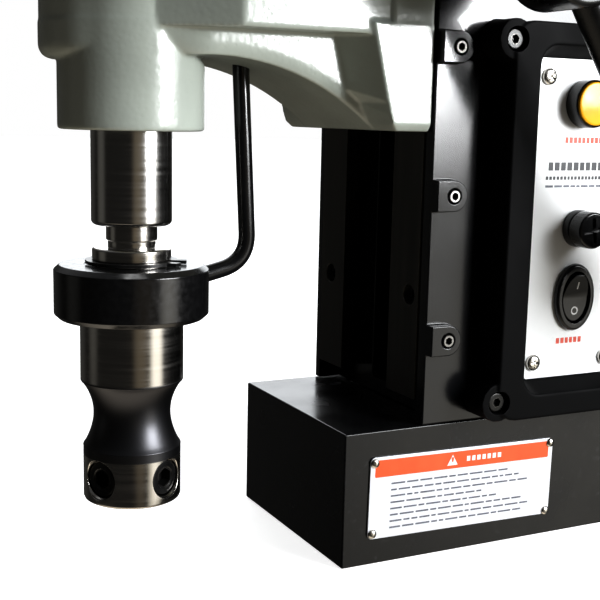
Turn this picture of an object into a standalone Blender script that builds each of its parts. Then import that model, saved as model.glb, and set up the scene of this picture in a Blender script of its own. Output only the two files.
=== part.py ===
"""Magnetic drill press: magnet base, slide column, sliding drill head and feed capstan.

Frame: metres, +Z up, origin at the centre of the magnet's underside.
-Y is the front (spindle side), +X is the operator's right (control side).
"""
import math

import bmesh
import bpy
from mathutils import Matrix, Vector

GAP = 0.0003

# Magnet base
BASE_WIDTH = 0.084
BASE_LENGTH = 0.174
BASE_HEIGHT = 0.0493
BASE_FRONT_Y = -BASE_LENGTH / 2
SIDE_X = BASE_WIDTH / 2
COIL_INNER = (0.016, 0.058)
COIL_OUTER = (0.029, 0.071)
COIL_DEPTH = 0.032
POTTING_DEPTH = 0.005
LABEL_SIZE = (0.0808, 0.0302, 0.0006)
LABEL_CENTRE_Y = -0.0366
LABEL_CENTRE_Z = 0.0241
LABEL_TILT = math.radians(-1.0)

# Column and slideway
COLUMN_FRONT_Y = -0.0555
COLUMN_REAR_Y = 0.040
COLUMN_BOTTOM_Z = BASE_HEIGHT + GAP
COLUMN_TOP_Z = 0.228
NEAR_PLATE_INNER_X = 0.0370
FAR_PLATE_INNER_X = -0.0384
CHANNEL_FLOOR_Y = -0.0461
RAIL_FRONT_Y = -0.0558
RAIL_BOTTOM_Z = 0.0575
RAIL_TOP_Z = 0.226
NEAR_RAIL_X = (0.0164, 0.0362)
FAR_RAIL_X = (-0.0190, -0.0381)
DOVETAIL_RUN = 0.0055
RAIL_SCREW_Z = 0.0953
RAIL_SCREW_INSET_X = 0.030
SLIDE_CENTRE_X = -0.0013
GROOVE_HALF_WIDTH = 0.009
GROOVE_FLOOR_Y = -0.030
GIB_SCREW_Z = (0.1829, 0.1320, 0.0807)
GIB_SCREW_Y = -0.0485
GIB_LUG_RADIUS = 0.0055
GIB_LUG_REACH = 0.0040
PLATE_REAR_Y = -0.0347
POCKET_FLOOR_X = 0.012
POCKET_BACK_Y = -0.024
POCKET_SPANS_Z = ((0.0520, 0.0971), (0.0997, 0.1420), (0.1444, 0.1930))
FAR_RECESS_DEPTH = 0.003
FAR_RECESS_Y = (-0.030, 0.030)
FAR_RECESS_Z = (0.062, 0.190)
BAY_Y = (-0.0205, 0.0330)
BAY_Z = (0.0560, 0.1900)

# Feed pinion and capstan
PINION_Y = -0.0370
PINION_Z = 0.2100
PINION_TEETH = 12
RACK_MODULE = 0.0015
PINION_PITCH_RADIUS = RACK_MODULE * PINION_TEETH / 2
RACK_WIDTH = 0.012
SHAFT_RADIUS = 0.0060
BUSH_RADIUS = 0.0080
HUB_X = (0.0720, 0.0960)
HUB_RADIUS = 0.0170
SPOKE_PLANE_X = 0.085
SPOKE_RADIUS = 0.0055
SPOKE_LENGTH = 0.100
SPOKE_ANGLES = (-57.0, 63.0, 183.0)
GRIP_LENGTH = 0.034
GRIP_RADIUS = 0.0125

# Control box
BOX_FACE_X = 0.0550
BOX_BACK_X = SIDE_X + GAP
BOX_Y = (-0.0319, 0.0429)
BOX_Z = (0.0512, 0.1925)
BOX_LUG_RADIUS = 0.0070
BOX_LUG_Z = (0.0583, 0.1860)
PANEL_CENTRE_Y = 0.0055
PANEL_FACE_X = 0.0470
PANEL_THICKNESS = 0.0012
PANEL_Y = (-0.0173, 0.0283)
PANEL_Z = (0.0637, 0.1811)
RECESS_FLARE = 0.0038
BUTTON_Z = 0.1650
BUTTON_RADIUS = 0.0080
BEZEL_RADIUS = 0.0086
BEZEL_REACH = 0.0060
FUSE_Z = 0.1197
FUSE_RADIUS = 0.0067
FUSE_REACH = 0.0097
SWITCH_Z = 0.0940
SWITCH_RIM = (0.0090, 0.0126)
SWITCH_RIM_REACH = 0.0022
SWITCH_WELL = (0.0066, 0.0098)
SWITCH_CORE = (0.0070, 0.0106)
SWITCH_CORE_CORNER = 0.0060
SWITCH_DEPTH = 0.0200
ROCKER_PIVOT_X = 0.0005
ROCKER_REACH = 0.0092
ROCKER_HALF_WIDTH = 0.0059
REAR_COVER_Y = (COLUMN_REAR_Y + GAP, 0.0620)
REAR_COVER_HALF_WIDTH = 0.0400
REAR_COVER_Z = (0.0560, 0.2120)
REAR_COVER_WALL = 0.003
WIRE_WAY = (0.026, 0.100)
BOARD_X = (0.0150, 0.0166)
BOARD_Z = (0.060, 0.150)
PANEL_CORNER = 0.0038
MAGNET_SWITCH_Z = 0.150
DIAL_Z = 0.110
GLAND_Z = 0.080

# Carrying handle
HANDLE_X = 0.012
HANDLE_Y = (-0.018, 0.032)
HANDLE_RADIUS = 0.0060
HANDLE_RISE = 0.036
HANDLE_BEND = 0.012

# Drill head
SPINDLE_Y = -0.1504
MOTOR_Y = -0.1170
BOSS_SHOULDER_Z = 0.1735
BOSS_RADIUS = 0.02476
BOSS_BOTTOM_Z = 0.1525
CASE_BOTTOM_Z = 0.1757
CASE_RADIUS = 0.0278
CASE_NOSE = (-0.0057, SPINDLE_Y - 0.0016)
CASE_BLEND = math.radians(-44)
CASE_HALF_WIDTH = 0.0410
CASE_SKIRT_Z = 0.1860
CASE_TOP_Z = 0.2060
ARM_HALF_WIDTH = 0.0275
ARM_EDGE_RADIUS = 0.0100
ARM_EDGE_HEIGHT = 0.0050
ARM_FLARE = 0.0190
ARM_ARC_CENTRE = (-0.1310, 0.0880)
ARM_ARC_RADIUS = 0.0895
CARRIAGE_BOTTOM_Z = 0.1540
CARRIAGE_TOP_Z = 0.3120
CARRIAGE_REAR_Y = -0.0566
CARRIAGE_FRONT_Y = -0.0730
CARRIAGE_LEAN = 0.245
GUSSET_X = 0.0268
TONGUE_REAR_Y = CHANNEL_FLOOR_Y - 0.0006
RACK_Z = (0.1600, 0.3090)
CHAMBER_FLOOR_Z = 0.1885
CHAMBER_RADIUS = 0.0220
COVER_TOP_Z = 0.2165
MOTOR_RADIUS = 0.0410
MOTOR_WALL = 0.0035
MOTOR_TOP_Z = 0.3000
END_CAP_TOP_Z = 0.3320

CIRCLIP_Z = (0.1070, 0.1082)
BRUSH_Z = 0.290

# Gear train, all of one module
GEAR_MODULE = 0.001
GEAR_BACKLASH = 0.0004
SPINDLE_TEETH = 40
LAY_PINION_TEETH = 12
LAY_GEAR_TEETH = 36
ROTOR_TEETH = 10
SPINDLE_GEAR_Z = (0.1905, 0.1975)
LAY_GEAR_Z = (0.1987, 0.2045)

# Spindle and arbor
SPINDLE_NOSE_Z = 0.1204
SPINDLE_RADIUS = 0.01383
SPINDLE_JOURNAL = 0.0125
TAPER_RADIUS = 0.0088
TAPER_SLOPE = 0.025
TAPER_TOP_Z = 0.184
ARBOR_TIP_Z = 0.0231
ARBOR_TIP_RADIUS = 0.01713
ARBOR_BARREL_RADIUS = 0.01793
ARBOR_JOURNAL = 0.0136
WAIST_Z = (0.0425, 0.0542, 0.0659)
WAIST_RADIUS = 0.0135
CUTTER_BORE_RADIUS = 0.0095
RING_Z = (0.0880, 0.1067)
RING_RADIUS = 0.02676
ARBOR_SCREW_Z = 0.0325
ARBOR_SCREW_RADIUS = 0.0062
ARBOR_SCREW_ANGLES = (-61.0, 29.0)
COOLANT_TUBE_RADIUS = 0.0030
COOLANT_CORNER = (0.0, -0.1064, 0.1059)
COOLANT_INLET = (0.0, -0.12364, 0.1016)


# ---------------------------------------------------------------- helpers
def clear_scene():
    for old in list(bpy.data.objects):
        bpy.data.objects.remove(old, do_unlink=True)


def material(name, color, roughness, metallic=0.0):
    made = bpy.data.materials.new(name)
    made.use_nodes = True
    shader = made.node_tree.nodes["Principled BSDF"]
    shader.inputs["Base Color"].default_value = (*color, 1.0)
    shader.inputs["Roughness"].default_value = roughness
    shader.inputs["Metallic"].default_value = metallic
    return made


def pivot(name, location, parent=None):
    """An empty that stands on a joint's axis."""
    empty = bpy.data.objects.new(name, None)
    bpy.context.scene.collection.objects.link(empty)
    empty.parent = parent
    origin = Vector(parent["world"]) if parent else Vector((0, 0, 0))
    empty.location = Vector(location) - origin
    empty["world"] = list(location)
    return empty


def add(name, bm, surface, parent=None, smooth=True):
    """Turn a bmesh drawn in world coordinates into an object under its pivot."""
    if parent:
        bmesh.ops.translate(bm, vec=-Vector(parent["world"]), verts=bm.verts)
    bmesh.ops.remove_doubles(bm, verts=bm.verts, dist=1e-7)
    bmesh.ops.recalc_face_normals(bm, faces=bm.faces)
    mesh = bpy.data.meshes.new(name)
    bm.to_mesh(mesh)
    bm.free()
    made = bpy.data.objects.new(name, mesh)
    bpy.context.scene.collection.objects.link(made)
    made.parent = parent
    if surface:
        mesh.materials.append(surface)
    if smooth:
        mesh.shade_smooth()
        mesh.set_sharp_from_angle(angle=math.radians(35))
    return made


def combine(target, name, bm, operation):
    """Cut a tool mesh from an object, or join it on, with an exact boolean."""
    tool = add(name, bm, None, target.parent)
    tool.hide_render = True
    tool.display_type = "WIRE"
    step = target.modifiers.new(name, "BOOLEAN")
    step.operation = operation
    step.object = tool
    return tool


def cut(target, name, bm):
    return combine(target, name, bm, "DIFFERENCE")


def join(target, name, bm):
    return combine(target, name, bm, "UNION")


def merged(*parts):
    """Collect several bmeshes into one; they stay separate shells."""
    total = bmesh.new()
    for part in parts:
        scratch = bpy.data.meshes.new("scratch")
        part.to_mesh(scratch)
        part.free()
        total.from_mesh(scratch)
        bpy.data.meshes.remove(scratch)
    return total


def block(x, y, z):
    """A box between pairs of limits."""
    bm = bmesh.new()
    bmesh.ops.create_cube(bm, size=1.0)
    low = Vector((min(x), min(y), min(z)))
    high = Vector((max(x), max(y), max(z)))
    bmesh.ops.scale(bm, vec=high - low, verts=bm.verts)
    bmesh.ops.translate(bm, vec=(low + high) / 2, verts=bm.verts)
    return bm


def prism(outline, low, high, axis="Z"):
    """Extrude a closed outline of (a, b) points along an axis.

    The pairs are (x, y) for Z, (y, z) for X and (x, z) for Y.
    """
    placed = {
        "Z": lambda a, b: (a, b, low),
        "X": lambda a, b: (low, a, b),
        "Y": lambda a, b: (a, low, b),
    }[axis]
    bm = bmesh.new()
    face = bm.faces.new([bm.verts.new(placed(a, b)) for a, b in outline])
    step = Vector([high - low if letter == axis else 0.0 for letter in "XYZ"])
    grown = bmesh.ops.extrude_face_region(bm, geom=[face])
    moved = [item for item in grown["geom"] if isinstance(item, bmesh.types.BMVert)]
    bmesh.ops.translate(bm, vec=step, verts=moved)
    bmesh.ops.recalc_face_normals(bm, faces=bm.faces)
    return bm


def turned(profile, centre=(0.0, 0.0), segments=24, closed=False):
    """Spin a profile of (radius, z) points round a vertical axis.

    An open profile starts and ends on the axis; a closed one makes a ring.
    """
    bm = bmesh.new()
    verts = [bm.verts.new((radius, 0.0, z)) for radius, z in profile]
    edges = [bm.edges.new(pair) for pair in zip(verts, verts[1:])]
    if closed:
        edges.append(bm.edges.new((verts[-1], verts[0])))
    bmesh.ops.spin(bm, geom=verts + edges, cent=(0, 0, 0), axis=(0, 0, 1),
                   angle=math.tau, steps=segments, use_merge=True)
    bmesh.ops.remove_doubles(bm, verts=bm.verts, dist=1e-6)
    flat_ends = [end[1] for end, near in ((profile[0], profile[1]), (profile[-1], profile[-2]))
                 if not closed and abs(end[1] - near[1]) < 1e-9]
    poles = [vert for vert in bm.verts if math.hypot(vert.co.x, vert.co.y) < 1e-7
             and any(abs(vert.co.z - z) < 1e-7 for z in flat_ends)]
    bmesh.ops.dissolve_verts(bm, verts=poles)
    bmesh.ops.recalc_face_normals(bm, faces=bm.faces)
    bmesh.ops.translate(bm, vec=(centre[0], centre[1], 0.0), verts=bm.verts)
    return bm


def disc_stack(*steps):
    """A solid profile from (radius, low z, high z) steps, bottom to top."""
    profile = [(0.0, steps[0][1])]
    for radius, low, high in steps:
        profile += [(radius, low), (radius, high)]
    profile.append((0.0, steps[-1][2]))
    return profile


def tube(inner, outer, low, high, chamfer=0.0):
    """A closed ring profile; a chamfer breaks its outer edges."""
    if not chamfer:
        return [(inner, low), (outer, low), (outer, high), (inner, high)]
    return [(inner, low), (outer - chamfer, low), (outer, low + chamfer),
            (outer, high - chamfer), (outer - chamfer, high), (inner, high)]


def along_x(bm, y=0.0, z=0.0):
    """Lay a mesh drawn about +Z so that its axis points along +X."""
    turn = Matrix.Translation((0, y, z)) @ Matrix.Rotation(math.pi / 2, 4, "Y")
    bmesh.ops.transform(bm, matrix=turn, verts=bm.verts)
    return bm


def along_y(bm, x=0.0, z=0.0):
    """Lay a mesh drawn about +Z so that its axis points along +Y."""
    turn = Matrix.Translation((x, 0, z)) @ Matrix.Rotation(-math.pi / 2, 4, "X")
    bmesh.ops.transform(bm, matrix=turn, verts=bm.verts)
    return bm


def rounded_outline(low, high, radius, steps=4):
    """A rectangle between two corner points, its corners rounded."""
    points = []
    corners = (((high[0] - radius, high[1] - radius), 0),
               ((low[0] + radius, high[1] - radius), 90),
               ((low[0] + radius, low[1] + radius), 180),
               ((high[0] - radius, low[1] + radius), 270))
    for (a, b), start in corners:
        for step in range(steps + 1):
            angle = math.radians(start + 90 * step / steps)
            points.append((a + radius * math.cos(angle), b + radius * math.sin(angle)))
    return points


def gear_outline(teeth, module, backlash, phase, centre=(0.0, 0.0)):
    """A spur gear outline: flanks from the root, through the pitch line, to the tip."""
    pitch = teeth * module / 2
    base = pitch * math.cos(math.radians(20))
    involute = math.tan(math.radians(20)) - math.radians(20)
    half = math.pi / (2 * teeth) - backlash / (2 * pitch)
    tip = pitch + module
    root = pitch - 1.25 * module
    tip_pressure = math.acos(base / tip)
    half_tip = half + involute - (math.tan(tip_pressure) - tip_pressure)
    flank = [(root, half + involute), (tip, half_tip)]
    if teeth < 20:
        flank.insert(1, (pitch, half))
    points = []
    for tooth in range(teeth):
        middle = phase + math.tau * tooth / teeth
        for radius, offset in flank:
            angle = middle - offset
            points.append((radius, angle))
        for radius, offset in reversed(flank):
            angle = middle + offset
            points.append((radius, angle))
    return [(centre[0] + radius * math.cos(angle), centre[1] + radius * math.sin(angle))
            for radius, angle in points]


def hexagon(across_flats, centre=(0.0, 0.0)):
    radius = across_flats / math.sqrt(3)
    return [(centre[0] + radius * math.cos(math.radians(60 * k)),
             centre[1] + radius * math.sin(math.radians(60 * k))) for k in range(6)]


def socket_screw(head_radius, head_height, shank_radius, length, hex_size):
    """A cap screw about +Z: the head's top at z = 0, the shank pointing down."""
    bottom = -head_height - length
    body = turned([(0.0, bottom), (shank_radius, bottom), (shank_radius, -head_height),
                   (head_radius, -head_height), (head_radius, -0.0004),
                   (head_radius - 0.0004, 0.0), (0.0, 0.0)], segments=20)
    socket = prism(hexagon(hex_size), -head_height * 0.6, 0.001)
    return body, socket


# ---------------------------------------------------------------- magnet base
def build_base(paint, copper, resin, plate_white):
    body = add("magnet_body", block((-SIDE_X, SIDE_X), (BASE_FRONT_Y, -BASE_FRONT_Y),
                                    (0.0, BASE_HEIGHT)), paint)
    bevel = body.modifiers.new("edges", "BEVEL")
    bevel.width = 0.0006
    bevel.segments = 1
    outer = rounded_outline((-COIL_OUTER[0], -COIL_OUTER[1]), COIL_OUTER, 0.012)
    inner = rounded_outline((-COIL_INNER[0], -COIL_INNER[1]), COIL_INNER, 0.004)
    cut(body, "coil_slot", oblong_ring(outer, inner, -0.002, COIL_DEPTH))
    outer = rounded_outline((GAP - COIL_OUTER[0], GAP - COIL_OUTER[1]),
                            (COIL_OUTER[0] - GAP, COIL_OUTER[1] - GAP), 0.012 - GAP)
    inner = rounded_outline((-COIL_INNER[0] - GAP, -COIL_INNER[1] - GAP),
                            (COIL_INNER[0] + GAP, COIL_INNER[1] + GAP), 0.004 + GAP)
    add("magnet_coil", oblong_ring(outer, inner, POTTING_DEPTH + GAP, COIL_DEPTH - GAP), copper)
    add("coil_potting", oblong_ring(outer, inner, GAP, POTTING_DEPTH), resin)
    length, height, thickness = LABEL_SIZE
    outline = rounded_outline((-length / 2, -height / 2), (length / 2, height / 2), 0.002)
    label = prism(outline, 0.0, thickness, axis="X")
    turn = (Matrix.Translation((SIDE_X + GAP / 2, LABEL_CENTRE_Y, LABEL_CENTRE_Z))
            @ Matrix.Rotation(LABEL_TILT, 4, "X"))
    bmesh.ops.transform(label, matrix=turn, verts=label.verts)
    add("label_plate", label, plate_white)


def oblong_ring(outer, inner, low, high):
    """A closed ring between two outlines that have the same number of points."""
    bm = bmesh.new()
    loops = []
    for outline, z in ((outer, low), (outer, high), (inner, high), (inner, low)):
        loops.append([bm.verts.new((x, y, z)) for x, y in outline])
    count = len(outer)
    for first, second in zip(loops, loops[1:] + loops[:1]):
        for k in range(count):
            following = (k + 1) % count
            bm.faces.new((first[k], first[following], second[following], second[k]))
    bmesh.ops.recalc_face_normals(bm, faces=bm.faces)
    return bm


# ---------------------------------------------------------------- column
def build_column(paint, rail_steel, screw_steel, bright_steel, bronze):
    frame = add("column_frame", block((-SIDE_X, SIDE_X), (COLUMN_FRONT_Y, COLUMN_REAR_Y),
                                      (COLUMN_BOTTOM_Z, COLUMN_TOP_Z)), paint)
    lug_parts = []
    for z in GIB_SCREW_Z:
        outline = [(COLUMN_FRONT_Y, z - GIB_LUG_RADIUS)]
        for step in range(7):
            angle = math.radians(-90 + 22.5 * step)
            outline.append((GIB_SCREW_Y + GIB_LUG_RADIUS * math.cos(angle),
                            z + GIB_LUG_RADIUS * math.sin(angle)))
        outline.append((COLUMN_FRONT_Y, z + GIB_LUG_RADIUS))
        lug_parts.append(prism(outline, SIDE_X - 0.002, SIDE_X + GIB_LUG_REACH, axis="X"))
    join(frame, "gib_lugs", merged(*lug_parts))
    channel = block((FAR_PLATE_INNER_X, NEAR_PLATE_INNER_X), (COLUMN_FRONT_Y - 0.01, CHANNEL_FLOOR_Y),
                    (COLUMN_BOTTOM_Z - 0.01, COLUMN_TOP_Z + 0.01))
    cut(frame, "slide_channel", channel)
    groove = block((SLIDE_CENTRE_X - GROOVE_HALF_WIDTH, SLIDE_CENTRE_X + GROOVE_HALF_WIDTH),
                   (CHANNEL_FLOOR_Y - 0.005, GROOVE_FLOOR_Y),
                   (COLUMN_BOTTOM_Z + 0.006, COLUMN_TOP_Z + 0.01))
    cut(frame, "rack_groove", groove)
    cavity_radius = PINION_PITCH_RADIUS + RACK_MODULE + 0.0010
    half = RACK_WIDTH / 2 + 0.001
    cavity = turned(disc_stack((cavity_radius, SLIDE_CENTRE_X - half, SLIDE_CENTRE_X + half)),
                    segments=24)
    bore = turned(disc_stack((BUSH_RADIUS + GAP, -SIDE_X - 0.01, SIDE_X + 0.01)), segments=24)
    cut(frame, "pinion_cavity", along_x(cavity, PINION_Y, PINION_Z))
    cut(frame, "shaft_bore", along_x(bore, PINION_Y, PINION_Z))
    pockets = []
    for low, high in POCKET_SPANS_Z:
        outline = rounded_outline((PLATE_REAR_Y, low), (POCKET_BACK_Y, high), 0.003, steps=3)
        pockets.append(prism(outline, POCKET_FLOOR_X, SIDE_X + 0.01, axis="X"))
    bay = rounded_outline((BAY_Y[0], BAY_Z[0]), (BAY_Y[1], BAY_Z[1]), 0.004, steps=2)
    pockets.append(prism(bay, POCKET_FLOOR_X, SIDE_X + 0.01, axis="X"))
    cut(frame, "side_pockets", merged(*pockets))
    wire_way = turned(disc_stack((0.006, BAY_Y[1] - 0.002, COLUMN_REAR_Y + 0.01)), segments=16)
    cut(frame, "wire_way", along_y(wire_way, *WIRE_WAY))
    holes = []
    for z in GIB_SCREW_Z:
        hole = turned(disc_stack((0.0027, NEAR_PLATE_INNER_X - 0.004, SIDE_X + 0.01)), segments=16)
        holes.append(along_x(hole, GIB_SCREW_Y, z))
    for x in (-RAIL_SCREW_INSET_X, RAIL_SCREW_INSET_X):
        hole = turned(disc_stack((0.0029, CHANNEL_FLOOR_Y - 0.005, CHANNEL_FLOOR_Y + 0.009)),
                      segments=12)
        holes.append(along_y(hole, x, RAIL_SCREW_Z))
    cut(frame, "screw_holes", merged(*holes))
    far_panel = rounded_outline((FAR_RECESS_Y[0], FAR_RECESS_Z[0]), (FAR_RECESS_Y[1], FAR_RECESS_Z[1]),
                                0.006, steps=2)
    cut(frame, "far_recess", prism(far_panel, -SIDE_X - 0.01, -SIDE_X + FAR_RECESS_DEPTH, axis="X"))

    build_rail("guide_rail_near", NEAR_RAIL_X, 1, rail_steel)
    build_rail("guide_rail_far", FAR_RAIL_X, -1, rail_steel)
    for side, x in (("near", RAIL_SCREW_INSET_X), ("far", -RAIL_SCREW_INSET_X)):
        body, socket = socket_screw(0.0033, 0.0032, 0.0021, 0.0110, 0.0030)
        for piece in (body, socket):
            turn = (Matrix.Translation((x, RAIL_FRONT_Y + 0.0022, RAIL_SCREW_Z))
                    @ Matrix.Rotation(math.pi / 2, 4, "X"))
            bmesh.ops.transform(piece, matrix=turn, verts=piece.verts)
        screw = add(f"rail_screw_{side}", body, screw_steel)
        cut(screw, f"rail_screw_{side}_socket", socket)
    for number, z in enumerate(GIB_SCREW_Z, start=1):
        profile = disc_stack((0.0023, NEAR_PLATE_INNER_X + 0.0001, SIDE_X + GIB_LUG_REACH + 0.0004))
        screw = add(f"gib_screw_{number}", along_x(turned(profile, segments=20), GIB_SCREW_Y, z),
                    bright_steel)
        socket = prism(hexagon(0.0024), SIDE_X + 0.001, SIDE_X + 0.010)
        cut(screw, f"gib_screw_{number}_socket", along_x(socket, GIB_SCREW_Y, z))
    for side, inner, outer in (("near", SIDE_X - 0.012, SIDE_X + 0.003),
                               ("far", -SIDE_X - 0.001, -SIDE_X + 0.014)):
        profile = tube(SHAFT_RADIUS + GAP, BUSH_RADIUS, min(inner, outer), max(inner, outer))
        add(f"shaft_bush_{side}", along_x(turned(profile, segments=20, closed=True),
                                          PINION_Y, PINION_Z), bronze)


def build_rail(name, limits_x, side, steel):
    """A guide bar; its inner flank leans back to hold the dovetail tongue."""
    inner, outer = limits_x
    back = CHANNEL_FLOOR_Y - GAP
    outline = [(inner, RAIL_FRONT_Y), (outer, RAIL_FRONT_Y), (outer, back),
               (inner + side * DOVETAIL_RUN, back)]
    rail = add(name, prism(outline, RAIL_BOTTOM_Z, RAIL_TOP_Z), steel)
    x = side * RAIL_SCREW_INSET_X
    profile = disc_stack((0.0037, 0.0, 0.0060), (0.0025, 0.0060, 0.0150))
    hole = along_y(turned(profile, segments=20), x, RAIL_SCREW_Z)
    bmesh.ops.translate(hole, vec=(0, RAIL_FRONT_Y - 0.0002, 0), verts=hole.verts)
    cut(rail, f"{name}_screw_seat", hole)


# ---------------------------------------------------------------- control box
def build_controls(case_black, panel_white, board_green, gloss_black, amber, rubber, paint):
    box = add("control_box", prism(rounded_outline((BOX_Y[0], BOX_Z[0]), (BOX_Y[1], BOX_Z[1]), 0.008),
                                   BOX_BACK_X, BOX_FACE_X, axis="X"), case_black)
    lugs = []
    seats = []
    for y in (BOX_Y[0] + 0.0006, BOX_Y[1] - 0.0006):
        for z in BOX_LUG_Z:
            lug = turned(disc_stack((BOX_LUG_RADIUS, BOX_BACK_X + 0.0002, BOX_FACE_X - 0.0008)),
                         segments=24)
            lugs.append(along_x(lug, y, z))
            seat = turned(disc_stack((0.0024, BOX_BACK_X - 0.01, BOX_FACE_X - 0.005),
                                     (0.0043, BOX_FACE_X - 0.005, BOX_FACE_X + 0.01)), segments=20)
            seats.append(along_x(seat, y, z))
    join(box, "box_lugs", merged(*lugs))
    seat_x = PANEL_FACE_X - PANEL_THICKNESS - GAP
    cut(box, "panel_recess", panel_recess(seat_x))
    window = rounded_outline((PANEL_Y[0] + 0.003, PANEL_Z[0] + 0.003),
                             (PANEL_Y[1] - 0.003, PANEL_Z[1] - 0.003), 0.003, steps=2)
    cut(box, "panel_window", prism(window, BOX_BACK_X - 0.01, seat_x + 0.001, axis="X"))
    cut(box, "box_screw_seats", merged(*seats))

    outline = rounded_outline((PANEL_Y[0] + GAP, PANEL_Z[0] + GAP),
                              (PANEL_Y[1] - GAP, PANEL_Z[1] - GAP), PANEL_CORNER - GAP)
    panel = add("control_panel", prism(outline, PANEL_FACE_X - PANEL_THICKNESS, PANEL_FACE_X,
                                       axis="X"), panel_white)
    switch = [(PANEL_CENTRE_Y + y, SWITCH_Z + z) for y, z in switch_core(GAP)]
    openings = [panel_hole(BUTTON_Z, 0.0068), panel_hole(FUSE_Z, 0.0052),
                prism(switch, 0.040, 0.055, axis="X")]
    cut(panel, "panel_openings", merged(*openings))
    add("control_board", block(BOARD_X, (BAY_Y[0] + 0.002, BAY_Y[1] - 0.002), BOARD_Z), board_green)

    build_button(gloss_black, amber)
    build_fuse(gloss_black)
    switch_centre = (PANEL_FACE_X, PANEL_CENTRE_Y, SWITCH_Z)
    build_rocker("motor", switch_centre, Matrix.Identity(4), gloss_black)
    build_rear_cover(case_black, gloss_black, rubber)
    build_handle(paint)


def panel_recess(seat_x):
    """The recess over the panel: its walls flare outwards to the face."""
    inner = rounded_outline((PANEL_Y[0], PANEL_Z[0]), (PANEL_Y[1], PANEL_Z[1]), PANEL_CORNER)
    outer = rounded_outline((PANEL_Y[0] - RECESS_FLARE, PANEL_Z[0] - RECESS_FLARE),
                            (PANEL_Y[1] + RECESS_FLARE, PANEL_Z[1] + RECESS_FLARE),
                            PANEL_CORNER + RECESS_FLARE)
    return lofted([[(x, y, z) for y, z in outline]
                   for outline, x in ((inner, seat_x), (inner, PANEL_FACE_X), (outer, BOX_FACE_X),
                                      (outer, BOX_FACE_X + 0.01))])


def panel_hole(z, radius):
    return along_x(turned(disc_stack((radius, 0.040, 0.055)), segments=20), PANEL_CENTRE_Y, z)


def build_button(gloss_black, amber):
    face = PANEL_FACE_X + GAP
    profile = [(0.0030, 0.024), (0.0064, 0.024), (0.0064, face), (BEZEL_RADIUS, face),
               (BEZEL_RADIUS, face + BEZEL_REACH - 0.001),
               (BEZEL_RADIUS - 0.0005, face + BEZEL_REACH),
               (BUTTON_RADIUS + 0.0002, face + BEZEL_REACH), (BUTTON_RADIUS + 0.0002, face + 0.001),
               (0.0030, face + 0.001)]
    add("button_housing", along_x(turned(profile, segments=20, closed=True), PANEL_CENTRE_Y,
                                  BUTTON_Z), gloss_black)
    cap = pivot("reverse_button_pivot", (face, PANEL_CENTRE_Y, BUTTON_Z))
    radius = BUTTON_RADIUS - GAP
    top = face + BEZEL_REACH + 0.0012
    profile = [(0.0, 0.030), (0.0026, 0.030), (0.0026, face + 0.0034), (radius, face + 0.0034),
               (radius, top - 0.0009), (radius * 0.80, top - 0.0002), (0.0, top)]
    add("reverse_button", along_x(turned(profile, segments=20), PANEL_CENTRE_Y, BUTTON_Z), amber, cap)


def build_fuse(gloss_black):
    face = PANEL_FACE_X + GAP
    profile = [(0.0036, 0.020), (0.0048, 0.020), (0.0048, face), (FUSE_RADIUS, face),
               (FUSE_RADIUS, face + 0.0030), (0.0036, face + 0.0030)]
    add("fuse_holder", along_x(turned(profile, segments=16, closed=True), PANEL_CENTRE_Y, FUSE_Z),
        gloss_black)
    cap = pivot("fuse_cap_pivot", (face, PANEL_CENTRE_Y, FUSE_Z))
    low = face + 0.0030 + GAP
    high = face + FUSE_REACH
    profile = [(0.0, 0.024), (0.0030, 0.024), (0.0030, low), (FUSE_RADIUS, low),
               (FUSE_RADIUS, high - 0.0006), (FUSE_RADIUS - 0.0006, high), (0.0, high)]
    knob = add("fuse_cap", along_x(turned(profile, segments=20), PANEL_CENTRE_Y, FUSE_Z),
               gloss_black, cap)
    slot = block((high - 0.0014, high + 0.002), (PANEL_CENTRE_Y - 0.0040, PANEL_CENTRE_Y + 0.0040),
                 (FUSE_Z - 0.0006, FUSE_Z + 0.0006))
    cut(knob, "fuse_slot", slot)
    cross = block((high - 0.0012, high + 0.002), (PANEL_CENTRE_Y - 0.0006, PANEL_CENTRE_Y + 0.0006),
                  (FUSE_Z - 0.0040, FUSE_Z + 0.0040))
    cut(knob, "fuse_cross_slot", cross)


def oval(width, height, steps=24):
    """An ellipse outline with those half sizes."""
    return [(width * math.cos(math.tau * step / steps), height * math.sin(math.tau * step / steps))
            for step in range(steps)]


def switch_core(grow=0.0):
    """The outline that passes through a panel; grown, it is the panel's opening."""
    width, height = SWITCH_CORE
    return rounded_outline((-width - grow, -height - grow), (width + grow, height + grow),
                           SWITCH_CORE_CORNER + grow)


def build_rocker(name, centre, turn, gloss_black):
    """A rocker switch drawn facing +X about the origin, then turned and moved."""
    placed = Matrix.Translation(centre) @ turn
    rim = prism(oval(*SWITCH_RIM), GAP, SWITCH_RIM_REACH, axis="X")
    bmesh.ops.transform(rim, matrix=placed, verts=rim.verts)
    body = add(f"{name}_switch_body", rim, gloss_black)
    core = prism(switch_core(), -SWITCH_DEPTH, 2 * GAP, axis="X")
    bmesh.ops.transform(core, matrix=placed, verts=core.verts)
    join(body, f"{name}_switch_core", core)
    well = prism(oval(*SWITCH_WELL), -SWITCH_DEPTH / 2, 0.010, axis="X")
    bmesh.ops.transform(well, matrix=placed, verts=well.verts)
    cut(body, f"{name}_switch_well", well)
    hinge = pivot(f"{name}_rocker_pivot", placed @ Vector((ROCKER_PIVOT_X, 0.0, 0.0)))
    paddle = prism(rocker_side(), -ROCKER_HALF_WIDTH, ROCKER_HALF_WIDTH, axis="Y")
    bmesh.ops.transform(paddle, matrix=placed, verts=paddle.verts)
    paddle = add(f"{name}_rocker", paddle, gloss_black, hinge)
    limit = prism(oval(ROCKER_HALF_WIDTH, ROCKER_REACH), -0.02, 0.02, axis="X")
    bmesh.ops.transform(limit, matrix=placed, verts=limit.verts)
    combine(paddle, f"{name}_rocker_outline", limit, "INTERSECT")


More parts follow.
